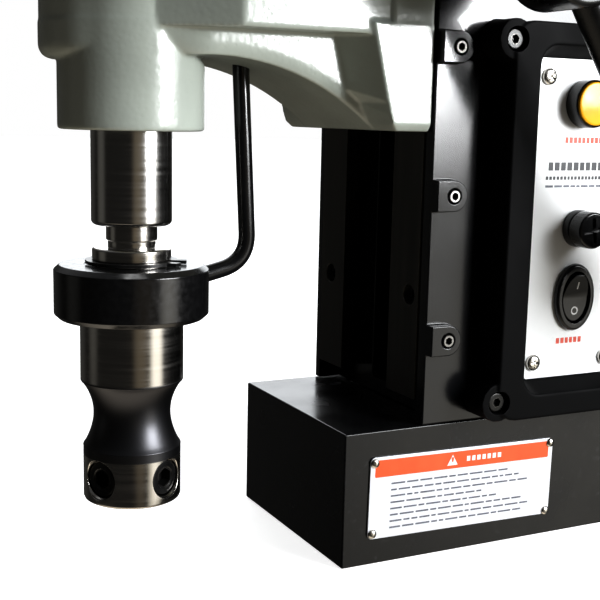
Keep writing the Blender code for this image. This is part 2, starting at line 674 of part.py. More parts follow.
def rocker_side():
    """The paddle from the side, switched off: the upper half proud, the lower half flush.

    Both ends are arcs about the pivot, so that they keep clear of the well as it rocks.
    """
    points = [(ROCKER_PIVOT_X + 0.0011, 0.0)]
    for start, end in ((math.radians(67.5), math.radians(100)),
                       (math.radians(260), math.radians(276.7))):
        for step in range(4):
            angle = start + (end - start) * step / 3
            points.append((ROCKER_PIVOT_X + ROCKER_REACH * math.cos(angle),
                           ROCKER_REACH * math.sin(angle)))
        if start < math.pi:
            points += [(ROCKER_PIVOT_X - 0.0030, 0.0040), (ROCKER_PIVOT_X - 0.0030, -0.0040)]
    return points


def build_rear_cover(case_black, gloss_black, rubber):
    low, high = REAR_COVER_Y
    wide, wall = REAR_COVER_HALF_WIDTH, REAR_COVER_WALL
    outline = rounded_outline((-wide, REAR_COVER_Z[0]), (wide, REAR_COVER_Z[1]), 0.006)
    cover = add("rear_cover", prism(outline, low, high, axis="Y"), case_black)
    inner = rounded_outline((wall - wide, REAR_COVER_Z[0] + wall), (wide - wall, REAR_COVER_Z[1] - wall),
                            0.004, steps=2)
    cut(cover, "rear_cover_hollow", prism(inner, low - 0.01, high - wall, axis="Y"))
    switch = [(-y, MAGNET_SWITCH_Z + z) for y, z in switch_core(GAP)]
    holes = [along_y(turned(disc_stack((0.0036, high - 0.01, high + 0.01)), segments=16), 0.0, DIAL_Z),
             along_y(turned(disc_stack((0.0064, high - 0.01, high + 0.01)), segments=16), 0.0, GLAND_Z),
             prism(switch, high - 0.01, high + 0.01, axis="Y")]
    cut(cover, "rear_cover_openings", merged(*holes))
    turn = Matrix.Rotation(math.pi / 2, 4, "Z")
    build_rocker("magnet", (0.0, high, MAGNET_SWITCH_Z), turn, gloss_black)
    dial_pivot = pivot("speed_dial_pivot", (0.0, high, DIAL_Z))
    profile = [(0.0, high - 0.010), (0.0030, high - 0.010), (0.0030, high + GAP), (0.0110, high + GAP),
               (0.0100, high + 0.0120), (0.0092, high + 0.0130), (0.0, high + 0.0130)]
    dial = add("speed_dial", along_y(turned(profile, segments=24), 0.0, DIAL_Z), gloss_black, dial_pivot)
    groove = block((-0.0006, 0.0006), (high + 0.0122, high + 0.02), (DIAL_Z + 0.003, DIAL_Z + 0.020))
    cut(dial, "speed_dial_pointer", groove)
    profile = [(0.0030, high - 0.008), (0.0060, high - 0.008), (0.0060, high + GAP),
               (0.0090, high + GAP), (0.0090, high + 0.006), (0.0070, high + 0.012),
               (0.0062, high + 0.016), (0.0030, high + 0.016)]
    add("cable_gland", along_y(turned(profile, segments=20, closed=True), 0.0, GLAND_Z), rubber)


def build_handle(paint):
    """A round carrying bar bent into a low bridge over the column."""
    path = bpy.data.curves.new("carry_handle", "CURVE")
    path.dimensions = "3D"
    path.bevel_depth = HANDLE_RADIUS
    path.bevel_resolution = 2
    path.use_fill_caps = True
    foot = COLUMN_TOP_Z + GAP
    top = foot + HANDLE_RISE
    bend = HANDLE_BEND
    front, rear = HANDLE_Y
    points = [(front, foot), (front, foot + 0.010)]
    for centre_y, start, sign in ((front + bend, 180, -1), (rear - bend, 90, -1)):
        for step in range(5):
            angle = math.radians(start + sign * 90 * step / 4)
            points.append((centre_y + bend * math.cos(angle), top - bend + bend * math.sin(angle)))
    points += [(rear, foot + 0.010), (rear, foot)]
    spline = path.splines.new("POLY")
    spline.points.add(len(points) - 1)
    for point, (y, z) in zip(spline.points, points):
        point.co = (HANDLE_X, y, z, 1.0)
    handle = bpy.data.objects.new("carry_handle", path)
    bpy.context.scene.collection.objects.link(handle)
    path.materials.append(paint)


# ---------------------------------------------------------------- capstan
def build_capstan(steel, black, grip_black):
    axis = pivot("capstan_pivot", (HUB_X[0], PINION_Y, PINION_Z))
    low, high = -SIDE_X - 0.003, HUB_X[0] + 0.010
    shaft = add("pinion_shaft", along_x(turned(disc_stack((SHAFT_RADIUS - 0.0001, low, high)),
                                               segments=24), PINION_Y, PINION_Z), steel, axis)
    outline = gear_outline(PINION_TEETH, RACK_MODULE, GEAR_BACKLASH, math.pi, (PINION_Y, PINION_Z))
    half = RACK_WIDTH / 2
    join(shaft, "feed_pinion", prism(outline, SLIDE_CENTRE_X - half, SLIDE_CENTRE_X + half, axis="X"))
    profile = [(0.0, HUB_X[0] + 0.0103), (SHAFT_RADIUS + GAP, HUB_X[0] + 0.0103),
               (SHAFT_RADIUS + GAP, HUB_X[0] - 0.010), (0.0115, HUB_X[0] - 0.010),
               (0.0115, HUB_X[0]), (HUB_RADIUS, HUB_X[0] + 0.002), (HUB_RADIUS, HUB_X[1] - 0.002),
               (HUB_RADIUS - 0.002, HUB_X[1]), (0.0, HUB_X[1])]
    hub = add("capstan_hub", along_x(turned(profile, segments=24), PINION_Y, PINION_Z), black, axis)
    sockets = []
    for number, degrees in enumerate(SPOKE_ANGLES, start=1):
        place = spoke_frame(degrees)
        socket = turned(disc_stack((SPOKE_RADIUS + GAP, HUB_RADIUS - 0.006, HUB_RADIUS + 0.01)),
                        segments=16)
        bmesh.ops.transform(socket, matrix=place, verts=socket.verts)
        sockets.append(socket)
        start = HUB_RADIUS - 0.0055
        profile = [(0.0, start), (SPOKE_RADIUS, start), (SPOKE_RADIUS, SPOKE_LENGTH),
                   (0.0035, SPOKE_LENGTH), (0.0035, SPOKE_LENGTH + 0.012), (0.0, SPOKE_LENGTH + 0.012)]
        bar = turned(profile, segments=16)
        bmesh.ops.transform(bar, matrix=place, verts=bar.verts)
        add(f"capstan_spoke_{number}", bar, black, axis)
        low = SPOKE_LENGTH + GAP
        profile = [(0.0, low + 0.0125), (0.0038, low + 0.0125), (0.0038, low), (0.0070, low)]
        for step in range(4):
            angle = math.radians(180 - 30 * step)
            profile.append((0.0070 + (GRIP_RADIUS - 0.0070) * math.sin(angle),
                            low + 0.010 + 0.010 * math.cos(angle)))
        for step in range(4):
            angle = math.radians(30 * step)
            profile.append((GRIP_RADIUS * math.cos(angle),
                            low + GRIP_LENGTH - GRIP_RADIUS + GRIP_RADIUS * math.sin(angle)))
        grip = turned(unique(profile), segments=14)
        bmesh.ops.transform(grip, matrix=place, verts=grip.verts)
        add(f"spoke_grip_{number}", grip, grip_black, axis)
    cut(hub, "spoke_sockets", merged(*sockets))


def unique(points):
    """Drop points that repeat the one before."""
    kept = [points[0]]
    for point in points[1:]:
        if math.dist(point, kept[-1]) > 1e-6:
            kept.append(point)
    return kept


def spoke_frame(degrees):
    """Map +Z to a direction in the spoke plane, measured from the rear towards up."""
    angle = math.radians(degrees)
    return (Matrix.Translation((SPOKE_PLANE_X, PINION_Y, PINION_Z))
            @ Matrix.Rotation(angle - math.pi / 2, 4, "X"))


# ---------------------------------------------------------------- drill head
def build_head(slide, paint, steel, rack_steel, housing_paint, end_black, winding, carbon, bearing,
               ring_black, tube_black):
    casting = build_casting(slide, paint)
    build_rack(slide, rack_steel)
    cover = add("gear_case_cover", prism(case_outline(0.0), CASE_TOP_Z + GAP, COVER_TOP_Z),
                housing_paint, slide)
    lay = lay_shaft_place()
    seats = [turned(disc_stack((0.0123, CASE_TOP_Z - 0.01, 0.2145)), (0, SPINDLE_Y), 20),
             turned(disc_stack((0.0034, CASE_TOP_Z - 0.01, 0.2125)), lay, 16),
             turned(disc_stack((0.0070, CASE_TOP_Z - 0.01, COVER_TOP_Z + 0.01)), (0, MOTOR_Y), 20)]
    cut(cover, "cover_seats", merged(*seats))

    low = COVER_TOP_Z + GAP
    profile = [(MOTOR_RADIUS - MOTOR_WALL, low), (MOTOR_RADIUS, low), (MOTOR_RADIUS, MOTOR_TOP_Z),
               (MOTOR_RADIUS - MOTOR_WALL, MOTOR_TOP_Z)]
    housing = add("motor_housing", turned(profile, (0, MOTOR_Y), 32, closed=True), housing_paint, slide)
    brush_ports = []
    for side in (-1, 1):
        limits = (side * 0.032, side * 0.050)
        port = turned(disc_stack((0.0062, min(limits), max(limits))), segments=16)
        brush_ports.append(along_x(port, MOTOR_Y, BRUSH_Z))
    vents = []
    for number in range(8):
        angle = math.radians(22.5 + 45 * number)
        vent = block((0.030, 0.050), (-0.0040, 0.0040), (0.2215, 0.2320))
        turn = Matrix.Translation((0, MOTOR_Y, 0)) @ Matrix.Rotation(angle, 4, "Z")
        bmesh.ops.transform(vent, matrix=turn, verts=vent.verts)
        vents.append(vent)
    cut(housing, "housing_openings", merged(*brush_ports, *vents))

    add("motor_end_cap", turned(end_cap_profile(), (0, MOTOR_Y), 24), end_black, slide)
    inner = MOTOR_RADIUS - MOTOR_WALL - GAP
    profile = tube(0.0240, inner, 0.2370, 0.2790)
    add("stator", turned(profile, (0, MOTOR_Y), 24, closed=True), winding, slide)
    for number, side in enumerate((-1, 1), start=1):
        limits = sorted((side * 0.0136, side * 0.0405))
        body = along_x(turned(disc_stack((0.0050, *limits)), segments=12), MOTOR_Y, BRUSH_Z)
        add(f"brush_{number}", body, carbon, slide)
    profile = tube(SPINDLE_JOURNAL + GAP, 0.0210, 0.1572, 0.1690)
    add("spindle_bearing_lower", turned(profile, (0, SPINDLE_Y), 24, closed=True), bearing, slide)
    profile = tube(0.0060 + GAP, 0.0120, CASE_TOP_Z + 0.0008, 0.2142)
    add("spindle_bearing_upper", turned(profile, (0, SPINDLE_Y), 20, closed=True), bearing, slide)

    profile = tube(ARBOR_JOURNAL + GAP, RING_RADIUS, RING_Z[0], RING_Z[1], 0.0018)
    ring = add("coolant_ring", turned(profile, (0, SPINDLE_Y), 32, closed=True), ring_black, slide)
    inlet = turned(disc_stack((COOLANT_TUBE_RADIUS + GAP, 0.0, 0.020)), segments=12)
    outwards = (Vector(COOLANT_CORNER) - Vector(COOLANT_INLET)).normalized()
    place = (Matrix.Translation(Vector(COOLANT_INLET) - outwards * 0.005)
             @ outwards.to_track_quat("Z", "Y").to_matrix().to_4x4())
    bmesh.ops.transform(inlet, matrix=place, verts=inlet.verts)
    cut(ring, "coolant_inlet", inlet)
    build_coolant_tube(slide, casting, tube_black)


def end_cap_profile():
    """The end cap: a domed shell with a bearing pocket hanging inside."""
    wall = 0.003
    low = MOTOR_TOP_Z + GAP
    return [(0.0, END_CAP_TOP_Z), (0.0260, END_CAP_TOP_Z), (0.0350, END_CAP_TOP_Z - 0.0030),
            (0.0400, END_CAP_TOP_Z - 0.0100), (MOTOR_RADIUS, END_CAP_TOP_Z - 0.0150),
            (MOTOR_RADIUS, low), (MOTOR_RADIUS - wall, low),
            (MOTOR_RADIUS - wall, END_CAP_TOP_Z - 0.0150), (0.0330, END_CAP_TOP_Z - 0.0060),
            (0.0110, END_CAP_TOP_Z - 0.0040), (0.0110, END_CAP_TOP_Z - 0.0160),
            (0.0064, END_CAP_TOP_Z - 0.0160), (0.0064, END_CAP_TOP_Z - 0.0060),
            (0.0, END_CAP_TOP_Z - 0.0060)]


def lay_shaft_place():
    """The lay shaft stands where both of its gears mesh, on the far side."""
    to_motor = GEAR_MODULE * (LAY_GEAR_TEETH + ROTOR_TEETH) / 2
    to_spindle = GEAR_MODULE * (LAY_PINION_TEETH + SPINDLE_TEETH) / 2
    span = MOTOR_Y - SPINDLE_Y
    along = (to_motor ** 2 - to_spindle ** 2 + span ** 2) / (2 * span)
    return (-math.sqrt(to_motor ** 2 - along ** 2), MOTOR_Y - along)


def nose_outline(inset, start):
    """The gear case's nose from above: set over to the far side, flush with the boss on the near side."""
    points = []
    nose, boss = CASE_RADIUS - inset, BOSS_RADIUS - inset
    end = math.tau + CASE_BLEND
    for step in range(13):
        angle = start + (end - start) * step / 12
        points.append((CASE_NOSE[0] + nose * math.cos(angle), CASE_NOSE[1] + nose * math.sin(angle)))
    for step in range(5):
        angle = CASE_BLEND * (1 - step / 4)
        points.append((boss * math.cos(angle), SPINDLE_Y + boss * math.sin(angle)))
    return points


def case_outline(inset):
    """The gear case seen from above: its nose widens to the motor seat."""
    points = nose_outline(inset, math.pi)
    wide = CASE_HALF_WIDTH - inset
    rear = CARRIAGE_FRONT_Y - inset - 0.0006
    points += [(wide, MOTOR_Y - 0.010), (wide, rear), (-wide, rear), (-wide, SPINDLE_Y + 0.0065)]
    return points


def case_skirt():
    """The case's rounded lower lip, which fades into the boss and the arm."""
    rings = []
    for inset, z in ((0.0045, CASE_BOTTOM_Z), (0.0013, CASE_BOTTOM_Z + 0.0013),
                     (0.0, CASE_BOTTOM_Z + 0.0045), (0.0, CASE_SKIRT_Z + 0.002)):
        outline = nose_outline(inset, math.radians(145))
        outline += [(0.012, SPINDLE_Y + 0.012), (-0.012, SPINDLE_Y + 0.009)]
        rings.append([(x, y, z) for x, y in outline])
    return lofted(rings)


def lofted(rings):
    """A closed skin through rings that have the same number of points, with flat ends."""
    bm = bmesh.new()
    loops = [[bm.verts.new(point) for point in ring] for ring in rings]
    count = len(rings[0])
    for first, second in zip(loops, loops[1:]):
        for k in range(count):
            following = (k + 1) % count
            bm.faces.new((first[k], first[following], second[following], second[k]))
    bm.faces.new(loops[0])
    bm.faces.new(loops[-1])
    bmesh.ops.recalc_face_normals(bm, faces=bm.faces)
    return bm


def arm_body():
    """The arm: its sides leave the boss flush, and its underside arcs down to the carriage.

    Its rounded sides end in a crisp lower edge, which fades out towards the boss.
    """
    centre_y, centre_z = ARM_ARC_CENTRE
    start = math.radians(94)
    end = math.asin((CARRIAGE_BOTTOM_Z - centre_z) / ARM_ARC_RADIUS)
    arch = []
    for step in range(15):
        angle = start + (end - start) * step / 14
        arch.append((centre_y + ARM_ARC_RADIUS * math.cos(angle),
                     centre_z + ARM_ARC_RADIUS * math.sin(angle)))
    level = arch[0][1]
    arch = [(SPINDLE_Y, level), (SPINDLE_Y + 0.005, level), (SPINDLE_Y + 0.010, level)] + arch
    arch.append((CARRIAGE_FRONT_Y + 0.010, CARRIAGE_BOTTOM_Z))
    top = CASE_SKIRT_Z + 0.004
    rings = []
    for y, low in arch:
        share = min(1.0, (y - SPINDLE_Y) / ARM_FLARE)
        share = share * share * (3 - 2 * share)
        wide = BOSS_RADIUS - 0.0002 + (ARM_HALF_WIDTH - BOSS_RADIUS + 0.0002) * share
        height = ARM_EDGE_RADIUS + (ARM_EDGE_HEIGHT - ARM_EDGE_RADIUS) * share
        deepest = math.asin(height / ARM_EDGE_RADIUS)
        half = []
        for step in range(5):
            angle = deepest * (step / 4 - 1)
            half.append((wide - ARM_EDGE_RADIUS + ARM_EDGE_RADIUS * math.cos(angle),
                         low + height + ARM_EDGE_RADIUS * math.sin(angle)))
        half.append((wide, top))
        ring = half + [(-x, z) for x, z in reversed(half)]
        rings.append([(x, y, z) for x, z in ring])
    return lofted(rings)


def carriage_foot():
    """The lower carriage: its front leans out as it rises, and gussets it to the arm's sides."""
    rings = []
    for z, front, middle in ((CARRIAGE_BOTTOM_Z, -0.0700, -0.0702),
                             (CARRIAGE_BOTTOM_Z + 0.0022, -0.0720, -0.0724),
                             (CARRIAGE_BOTTOM_Z + 0.0050, CARRIAGE_FRONT_Y, -0.0744),
                             (0.1635, CARRIAGE_FRONT_Y - CARRIAGE_LEAN * 0.0045, -0.0772),
                             (0.1680, CARRIAGE_FRONT_Y - CARRIAGE_LEAN * 0.0090, -0.0833),
                             (0.1900, CARRIAGE_FRONT_Y - CARRIAGE_LEAN * 0.0310, -0.0887)):
        side = SIDE_X - (0.0018 if z == CARRIAGE_BOTTOM_Z else 0.0)
        ring = [(-side, CARRIAGE_REAR_Y), (-side, front), (-GUSSET_X, middle),
                (GUSSET_X, middle), (side, front), (side, CARRIAGE_REAR_Y)]
        rings.append([(x, y, z) for x, y in ring])
    return lofted(rings)


def spindle_boss():
    """The boss: straight walls, with a rounded shoulder only under the arm."""
    rings = []
    for z, inset, pull in ((BOSS_BOTTOM_Z, 0.0006, 0.0), (BOSS_BOTTOM_Z + 0.0006, 0.0, 0.0),
                           (BOSS_SHOULDER_Z, 0.0, 0.0), (BOSS_SHOULDER_Z + 0.0023, 0.0, 0.0010),
                           (BOSS_SHOULDER_Z + 0.0040, 0.0, 0.0035), (CASE_SKIRT_Z + 0.001, 0.0, 0.0035)):
        ring = []
        for step in range(32):
            angle = math.tau * step / 32
            shoulder = max(0.0, min(1.0, (math.sin(angle) - 0.60) / 0.30))
            radius = BOSS_RADIUS - inset - pull * shoulder
            ring.append((radius * math.cos(angle), SPINDLE_Y + radius * math.sin(angle), z))
        rings.append(ring)
    return lofted(rings)


def build_casting(slide, paint):
    casting = add("head_casting", carriage_foot(), paint, slide)
    join(casting, "carriage_slab", block((-SIDE_X + 0.0001, SIDE_X - 0.0001),
                                         (CARRIAGE_FRONT_Y, CARRIAGE_REAR_Y - 0.0001),
                                         (0.170, CARRIAGE_TOP_Z)))
    neck = CARRIAGE_REAR_Y - 0.003
    inner_far, inner_near = FAR_RAIL_X[0] + 0.0004, NEAR_RAIL_X[0] - 0.0004
    flare = DOVETAIL_RUN + 0.0002
    tongue = [(inner_far, neck), (inner_near, neck), (inner_near, RAIL_FRONT_Y),
              (inner_near + flare, TONGUE_REAR_Y), (inner_far - flare, TONGUE_REAR_Y),
              (inner_far, RAIL_FRONT_Y)]
    join(casting, "dovetail_tongue", prism(tongue, CARRIAGE_BOTTOM_Z + 0.0012, CARRIAGE_TOP_Z - 0.0012))
    join(casting, "arm", arm_body())
    join(casting, "case_skirt", case_skirt())
    join(casting, "spindle_boss", spindle_boss())
    case = prism(case_outline(0.0003), CASE_SKIRT_Z, CASE_TOP_Z)
    join(casting, "gear_case", case)
    chamber = []
    for step in range(13):
        angle = math.radians(180 + 180 * step / 12)
        chamber.append((CHAMBER_RADIUS * math.cos(angle), SPINDLE_Y + CHAMBER_RADIUS * math.sin(angle)))
    far = MOTOR_Y + 0.012
    chamber += [(CHAMBER_RADIUS, far), (-0.0380, far), (-0.0380, SPINDLE_Y + 0.0079),
                (-0.0310, SPINDLE_Y + 0.0024)]
    cut(casting, "gear_chamber", prism(chamber, CHAMBER_FLOOR_Z, CASE_TOP_Z + 0.01))
    bore = disc_stack((SPINDLE_RADIUS + 0.0005, BOSS_BOTTOM_Z - 0.01, 0.1569),
                      (0.0213, 0.1569, 0.1693), (SPINDLE_JOURNAL + 0.0006, 0.1693, CHAMBER_FLOOR_Z + 0.005))
    cut(casting, "spindle_bore", turned(bore, (0, SPINDLE_Y), 24))
    lay_seat = turned(disc_stack((0.0034, CHAMBER_FLOOR_Z - 0.006, CHAMBER_FLOOR_Z + 0.005)),
                      lay_shaft_place(), 16)
    cut(casting, "lay_shaft_seat", lay_seat)
    half = RACK_WIDTH / 2 + GAP
    rack_seat = block((SLIDE_CENTRE_X - half, SLIDE_CENTRE_X + half), (-0.0518, TONGUE_REAR_Y + 0.01),
                      (RACK_Z[0] - GAP, RACK_Z[1] + GAP))
    cut(casting, "rack_seat", rack_seat)
    return casting


def build_rack(slide, steel):
    """A straight rack; a tooth gap faces the pinion's tooth at rest."""
    pitch = math.pi * RACK_MODULE
    tip_y = PINION_Y - PINION_PITCH_RADIUS + RACK_MODULE
    root_y = PINION_Y - PINION_PITCH_RADIUS - 1.25 * RACK_MODULE
    slope = math.tan(math.radians(20))
    half = pitch / 4 - 0.0002
    half_tip = half - RACK_MODULE * slope
    half_root = half + 1.25 * RACK_MODULE * slope
    outline = [(-0.0515, RACK_Z[0]), (root_y, RACK_Z[0])]
    first = math.ceil((RACK_Z[0] + half_root - PINION_Z) / pitch - 0.5)
    last = math.floor((RACK_Z[1] - half_root - PINION_Z) / pitch - 0.5)
    for tooth in range(first, last + 1):
        middle = PINION_Z + (tooth + 0.5) * pitch
        outline += [(root_y, middle - half_root), (tip_y, middle - half_tip),
                    (tip_y, middle + half_tip), (root_y, middle + half_root)]
    outline += [(root_y, RACK_Z[1]), (-0.0515, RACK_Z[1])]
    width = RACK_WIDTH / 2
    add("feed_rack", prism(outline, SLIDE_CENTRE_X - width, SLIDE_CENTRE_X + width, axis="X"),
        steel, slide)


def build_coolant_tube(slide, casting, tube_black):
    """A round bar from the arm's underside, bent once to run into the ring."""
    path = bpy.data.curves.new("coolant_tube", "CURVE")
    path.dimensions = "3D"
    path.bevel_depth = COOLANT_TUBE_RADIUS
    path.bevel_resolution = 3
    path.use_fill_caps = True
    top = Vector((0.0, -0.1103, 0.1780))
    corner = Vector(COOLANT_CORNER)
    bend = 0.0105
    down = (corner - top).normalized()
    inwards = (Vector(COOLANT_INLET) - corner).normalized()
    end = Vector(COOLANT_INLET) + inwards * 0.0045
    points = [top, corner - down * (bend + 0.020), corner - down * bend]
    for step in range(1, 6):
        share = step / 6
        points.append((corner - down * bend) * (1 - share) ** 2 + corner * (2 * share * (1 - share))
                      + (corner + inwards * bend) * share ** 2)
    points += [corner + inwards * bend, end]
    spline = path.splines.new("POLY")
    spline.points.add(len(points) - 1)
    origin = Vector(slide["world"])
    for point, place in zip(spline.points, points):
        point.co = (*(place - origin), 1.0)
    bar = bpy.data.objects.new("coolant_tube", path)
    bpy.context.scene.collection.objects.link(bar)
    bar.parent = slide
    path.materials.append(tube_black)
    socket = turned(disc_stack((COOLANT_TUBE_RADIUS + GAP, -0.012, 0.0125)), segments=16)
    place = Matrix.Translation(top) @ down.to_track_quat("Z", "Y").to_matrix().to_4x4()
    bmesh.ops.transform(socket, matrix=place @ Matrix.Translation((0, 0, 0.0115)), verts=socket.verts)
    cut(casting, "coolant_tube_socket", socket)


# ---------------------------------------------------------------- rotating parts
def build_spindle(slide, steel, gear_steel, arbor_steel, clip_black, screw_black):
    axis = pivot("spindle_pivot", (0, SPINDLE_Y, SPINDLE_NOSE_Z), slide)
    bore_low = TAPER_RADIUS + GAP
    bore_high = TAPER_RADIUS + GAP - TAPER_SLOPE * (0.1860 - SPINDLE_NOSE_Z)
    profile = [(0.0, 0.1860), (bore_high, 0.1860), (bore_low, SPINDLE_NOSE_Z),
               (SPINDLE_RADIUS - 0.0012, SPINDLE_NOSE_Z), (SPINDLE_RADIUS, SPINDLE_NOSE_Z + 0.0012),
               (SPINDLE_RADIUS, 0.1562), (SPINDLE_JOURNAL, 0.1562), (SPINDLE_JOURNAL, 0.1892),
               (0.0080, 0.1892), (0.0080, 0.1982), (0.0060, 0.1982), (0.0060, 0.2136), (0.0, 0.2136)]
    add("spindle", turned(profile, (0, SPINDLE_Y), 24), steel, axis)
    gear = gear_outline(SPINDLE_TEETH, GEAR_MODULE, GEAR_BACKLASH, spindle_gear_phase(), (0, SPINDLE_Y))
    wheel = add("spindle_gear", prism(gear, SPINDLE_GEAR_Z[0], SPINDLE_GEAR_Z[1]), gear_steel, axis)
    hole = turned(disc_stack((0.0080 + GAP, 0.180, 0.210)), (0, SPINDLE_Y), 24)
    cut(wheel, "spindle_gear_bore", hole)
    build_arbor(axis, arbor_steel, clip_black, screw_black)


def build_arbor(axis, arbor_steel, clip_black, screw_black):
    low, middle, high = WAIST_Z
    top_radius = TAPER_RADIUS - TAPER_SLOPE * (TAPER_TOP_Z - SPINDLE_NOSE_Z)
    profile = [(0.0, 0.0640), (CUTTER_BORE_RADIUS, 0.0640), (CUTTER_BORE_RADIUS, ARBOR_TIP_Z),
               (ARBOR_TIP_RADIUS - 0.0010, ARBOR_TIP_Z), (ARBOR_TIP_RADIUS, ARBOR_TIP_Z + 0.0010)]
    steps = 6
    for step in range(steps + 1):
        share = step / steps
        dip = math.sin(math.pi * share) ** 0.7
        rim = ARBOR_TIP_RADIUS + (ARBOR_BARREL_RADIUS - ARBOR_TIP_RADIUS) * share
        profile.append((rim - (rim - WAIST_RADIUS) * dip, low + (high - low) * share))
    profile += [(ARBOR_BARREL_RADIUS, RING_Z[0] - GAP), (ARBOR_JOURNAL, RING_Z[0] - GAP),
                (ARBOR_JOURNAL, 0.1069), (0.0126, 0.1069), (0.0126, 0.1083), (ARBOR_JOURNAL, 0.1083),
                (ARBOR_JOURNAL, 0.1121), (ARBOR_JOURNAL - 0.0004, 0.1125), (0.0082, 0.1125),
                (0.0082, 0.1148), (TAPER_RADIUS, 0.1150), (TAPER_RADIUS, SPINDLE_NOSE_Z),
                (top_radius, TAPER_TOP_Z), (0.0, TAPER_TOP_Z)]
    arbor = add("arbor", turned(profile, (0, SPINDLE_Y), 28), arbor_steel, axis)
    holes = []
    for number, degrees in enumerate(ARBOR_SCREW_ANGLES, start=1):
        place = arbor_screw_frame(degrees)
        hole = turned(disc_stack((ARBOR_SCREW_RADIUS + GAP, 0.0060, 0.0300)), segments=20)
        bmesh.ops.transform(hole, matrix=place, verts=hole.verts)
        holes.append(hole)
        profile = [(0.0, 0.0100), (ARBOR_SCREW_RADIUS, 0.0100), (ARBOR_SCREW_RADIUS, 0.0148),
                   (ARBOR_SCREW_RADIUS - 0.0006, 0.0154), (0.0, 0.0154)]
        body = turned(profile, segments=20)
        bmesh.ops.transform(body, matrix=place, verts=body.verts)
        screw = add(f"arbor_screw_{number}", body, screw_black, axis)
        socket = prism(hexagon(0.0060), 0.0118, 0.0200)
        bmesh.ops.transform(socket, matrix=place, verts=socket.verts)
        cut(screw, f"arbor_screw_{number}_socket", socket)
    for number, hole in enumerate(holes, start=1):
        cut(arbor, f"arbor_screw_hole_{number}", hole)
    build_circlip(axis, clip_black)


def arbor_screw_frame(degrees):
    """Map +Z to a radial direction of the arbor, at the screws' height."""
    return (Matrix.Translation((0, SPINDLE_Y, ARBOR_SCREW_Z))
            @ Matrix.Rotation(math.radians(degrees), 4, "Z") @ Matrix.Rotation(math.pi / 2, 4, "Y"))


def build_circlip(axis, clip_black):
    """An open retaining ring with two ears at its gap."""
    inner, outer, ear = 0.0129, 0.0160, 0.0190
    gap_angle = math.radians(9)
    centre = math.radians(52)
    points = []
    steps = 24
    for step in range(steps + 1):
        angle = centre + gap_angle + (math.tau - 2 * gap_angle) * step / steps
        radius = ear if step in (0, steps) else outer
        points.append((radius * math.cos(angle), SPINDLE_Y + radius * math.sin(angle)))
        if step in (0, steps - 1):
            turn = angle + (math.tau - 2 * gap_angle) / steps * (0.45 if step == 0 else 0.55)
            points.append((ear * math.cos(turn), SPINDLE_Y + ear * math.sin(turn)))
    for step in range(steps, -1, -1):
        angle = centre + gap_angle + (math.tau - 2 * gap_angle) * step / steps
        points.append((inner * math.cos(angle), SPINDLE_Y + inner * math.sin(angle)))
    add("circlip", prism(points, *CIRCLIP_Z), clip_black, axis)


def lay_phase():
    """Turn the lay pinion so that one of its teeth points at the spindle."""
    x, y = lay_shaft_place()
    return math.atan2(SPINDLE_Y - y, -x)


def spindle_gear_phase():
    """A tooth gap of the spindle gear faces the lay pinion's tooth."""
    x, y = lay_shaft_place()
    return math.atan2(y - SPINDLE_Y, x) + math.pi / SPINDLE_TEETH


def build_lay_shaft(slide, gear_steel):
    place = lay_shaft_place()
    axis = pivot("lay_shaft_pivot", (*place, CHAMBER_FLOOR_Z), slide)
    profile = disc_stack((0.0030, CHAMBER_FLOOR_Z - 0.005, 0.2120))
    cluster = add("lay_shaft", turned(profile, place, 16), gear_steel, axis)
    pinion = gear_outline(LAY_PINION_TEETH, GEAR_MODULE, GEAR_BACKLASH, lay_phase(), place)
    join(cluster, "lay_pinion", prism(pinion, CHAMBER_FLOOR_Z + 0.0010, LAY_GEAR_Z[0] + 0.0005))
    to_motor = math.atan2(MOTOR_Y - place[1], -place[0])
    wheel = gear_outline(LAY_GEAR_TEETH, GEAR_MODULE, GEAR_BACKLASH, to_motor, place)
    join(cluster, "lay_wheel", prism(wheel, LAY_GEAR_Z[0], LAY_GEAR_Z[1]))


def build_rotor(slide, steel, winding, copper, fan_black):
    axis = pivot("rotor_pivot", (0, MOTOR_Y, LAY_GEAR_Z[0]), slide)
    centre = (0, MOTOR_Y)
    profile = disc_stack((0.0032, 0.1984, 0.2069), (0.0055, 0.2069, 0.2370), (0.0235, 0.2390, 0.2770),
                         (0.0055, 0.2775, 0.3170), (0.0045, 0.3170, 0.3250))
    rotor = add("rotor", turned(profile, centre, 20), steel, axis)
    place = lay_shaft_place()
    to_lay = math.atan2(place[1] - MOTOR_Y, place[0]) + math.pi / ROTOR_TEETH
    pinion = gear_outline(ROTOR_TEETH, GEAR_MODULE, GEAR_BACKLASH, to_lay, centre)
    join(rotor, "rotor_pinion", prism(pinion, LAY_GEAR_Z[0] - 0.0002, 0.2065))
    profile = tube(0.0055 + GAP, 0.0130, 0.2810, 0.2980)
    add("commutator", turned(profile, centre, 20, closed=True), copper, axis)
    profile = tube(0.0055 + GAP, 0.0120, 0.2200, 0.2340)
    fan = add("motor_fan", turned(profile, centre, 16, closed=True), fan_black, axis)
    disc = turned([(0.0080, 0.2195), (0.0340, 0.2195), (0.0340, 0.2210), (0.0080, 0.2210)],
                  centre, 24, closed=True)
    join(fan, "fan_disc", disc)
    blades = []
    for number in range(7):
        turn = (Matrix.Translation((0, MOTOR_Y, 0))
                @ Matrix.Rotation(math.tau * number / 7, 4, "Z"))
        blade = block((0.0110, 0.0330), (-0.0008, 0.0008), (0.2205, 0.2320))
        bmesh.ops.transform(blade, matrix=turn, verts=blade.verts)
        blades.append(blade)
    join(fan, "fan_blades", merged(*blades))


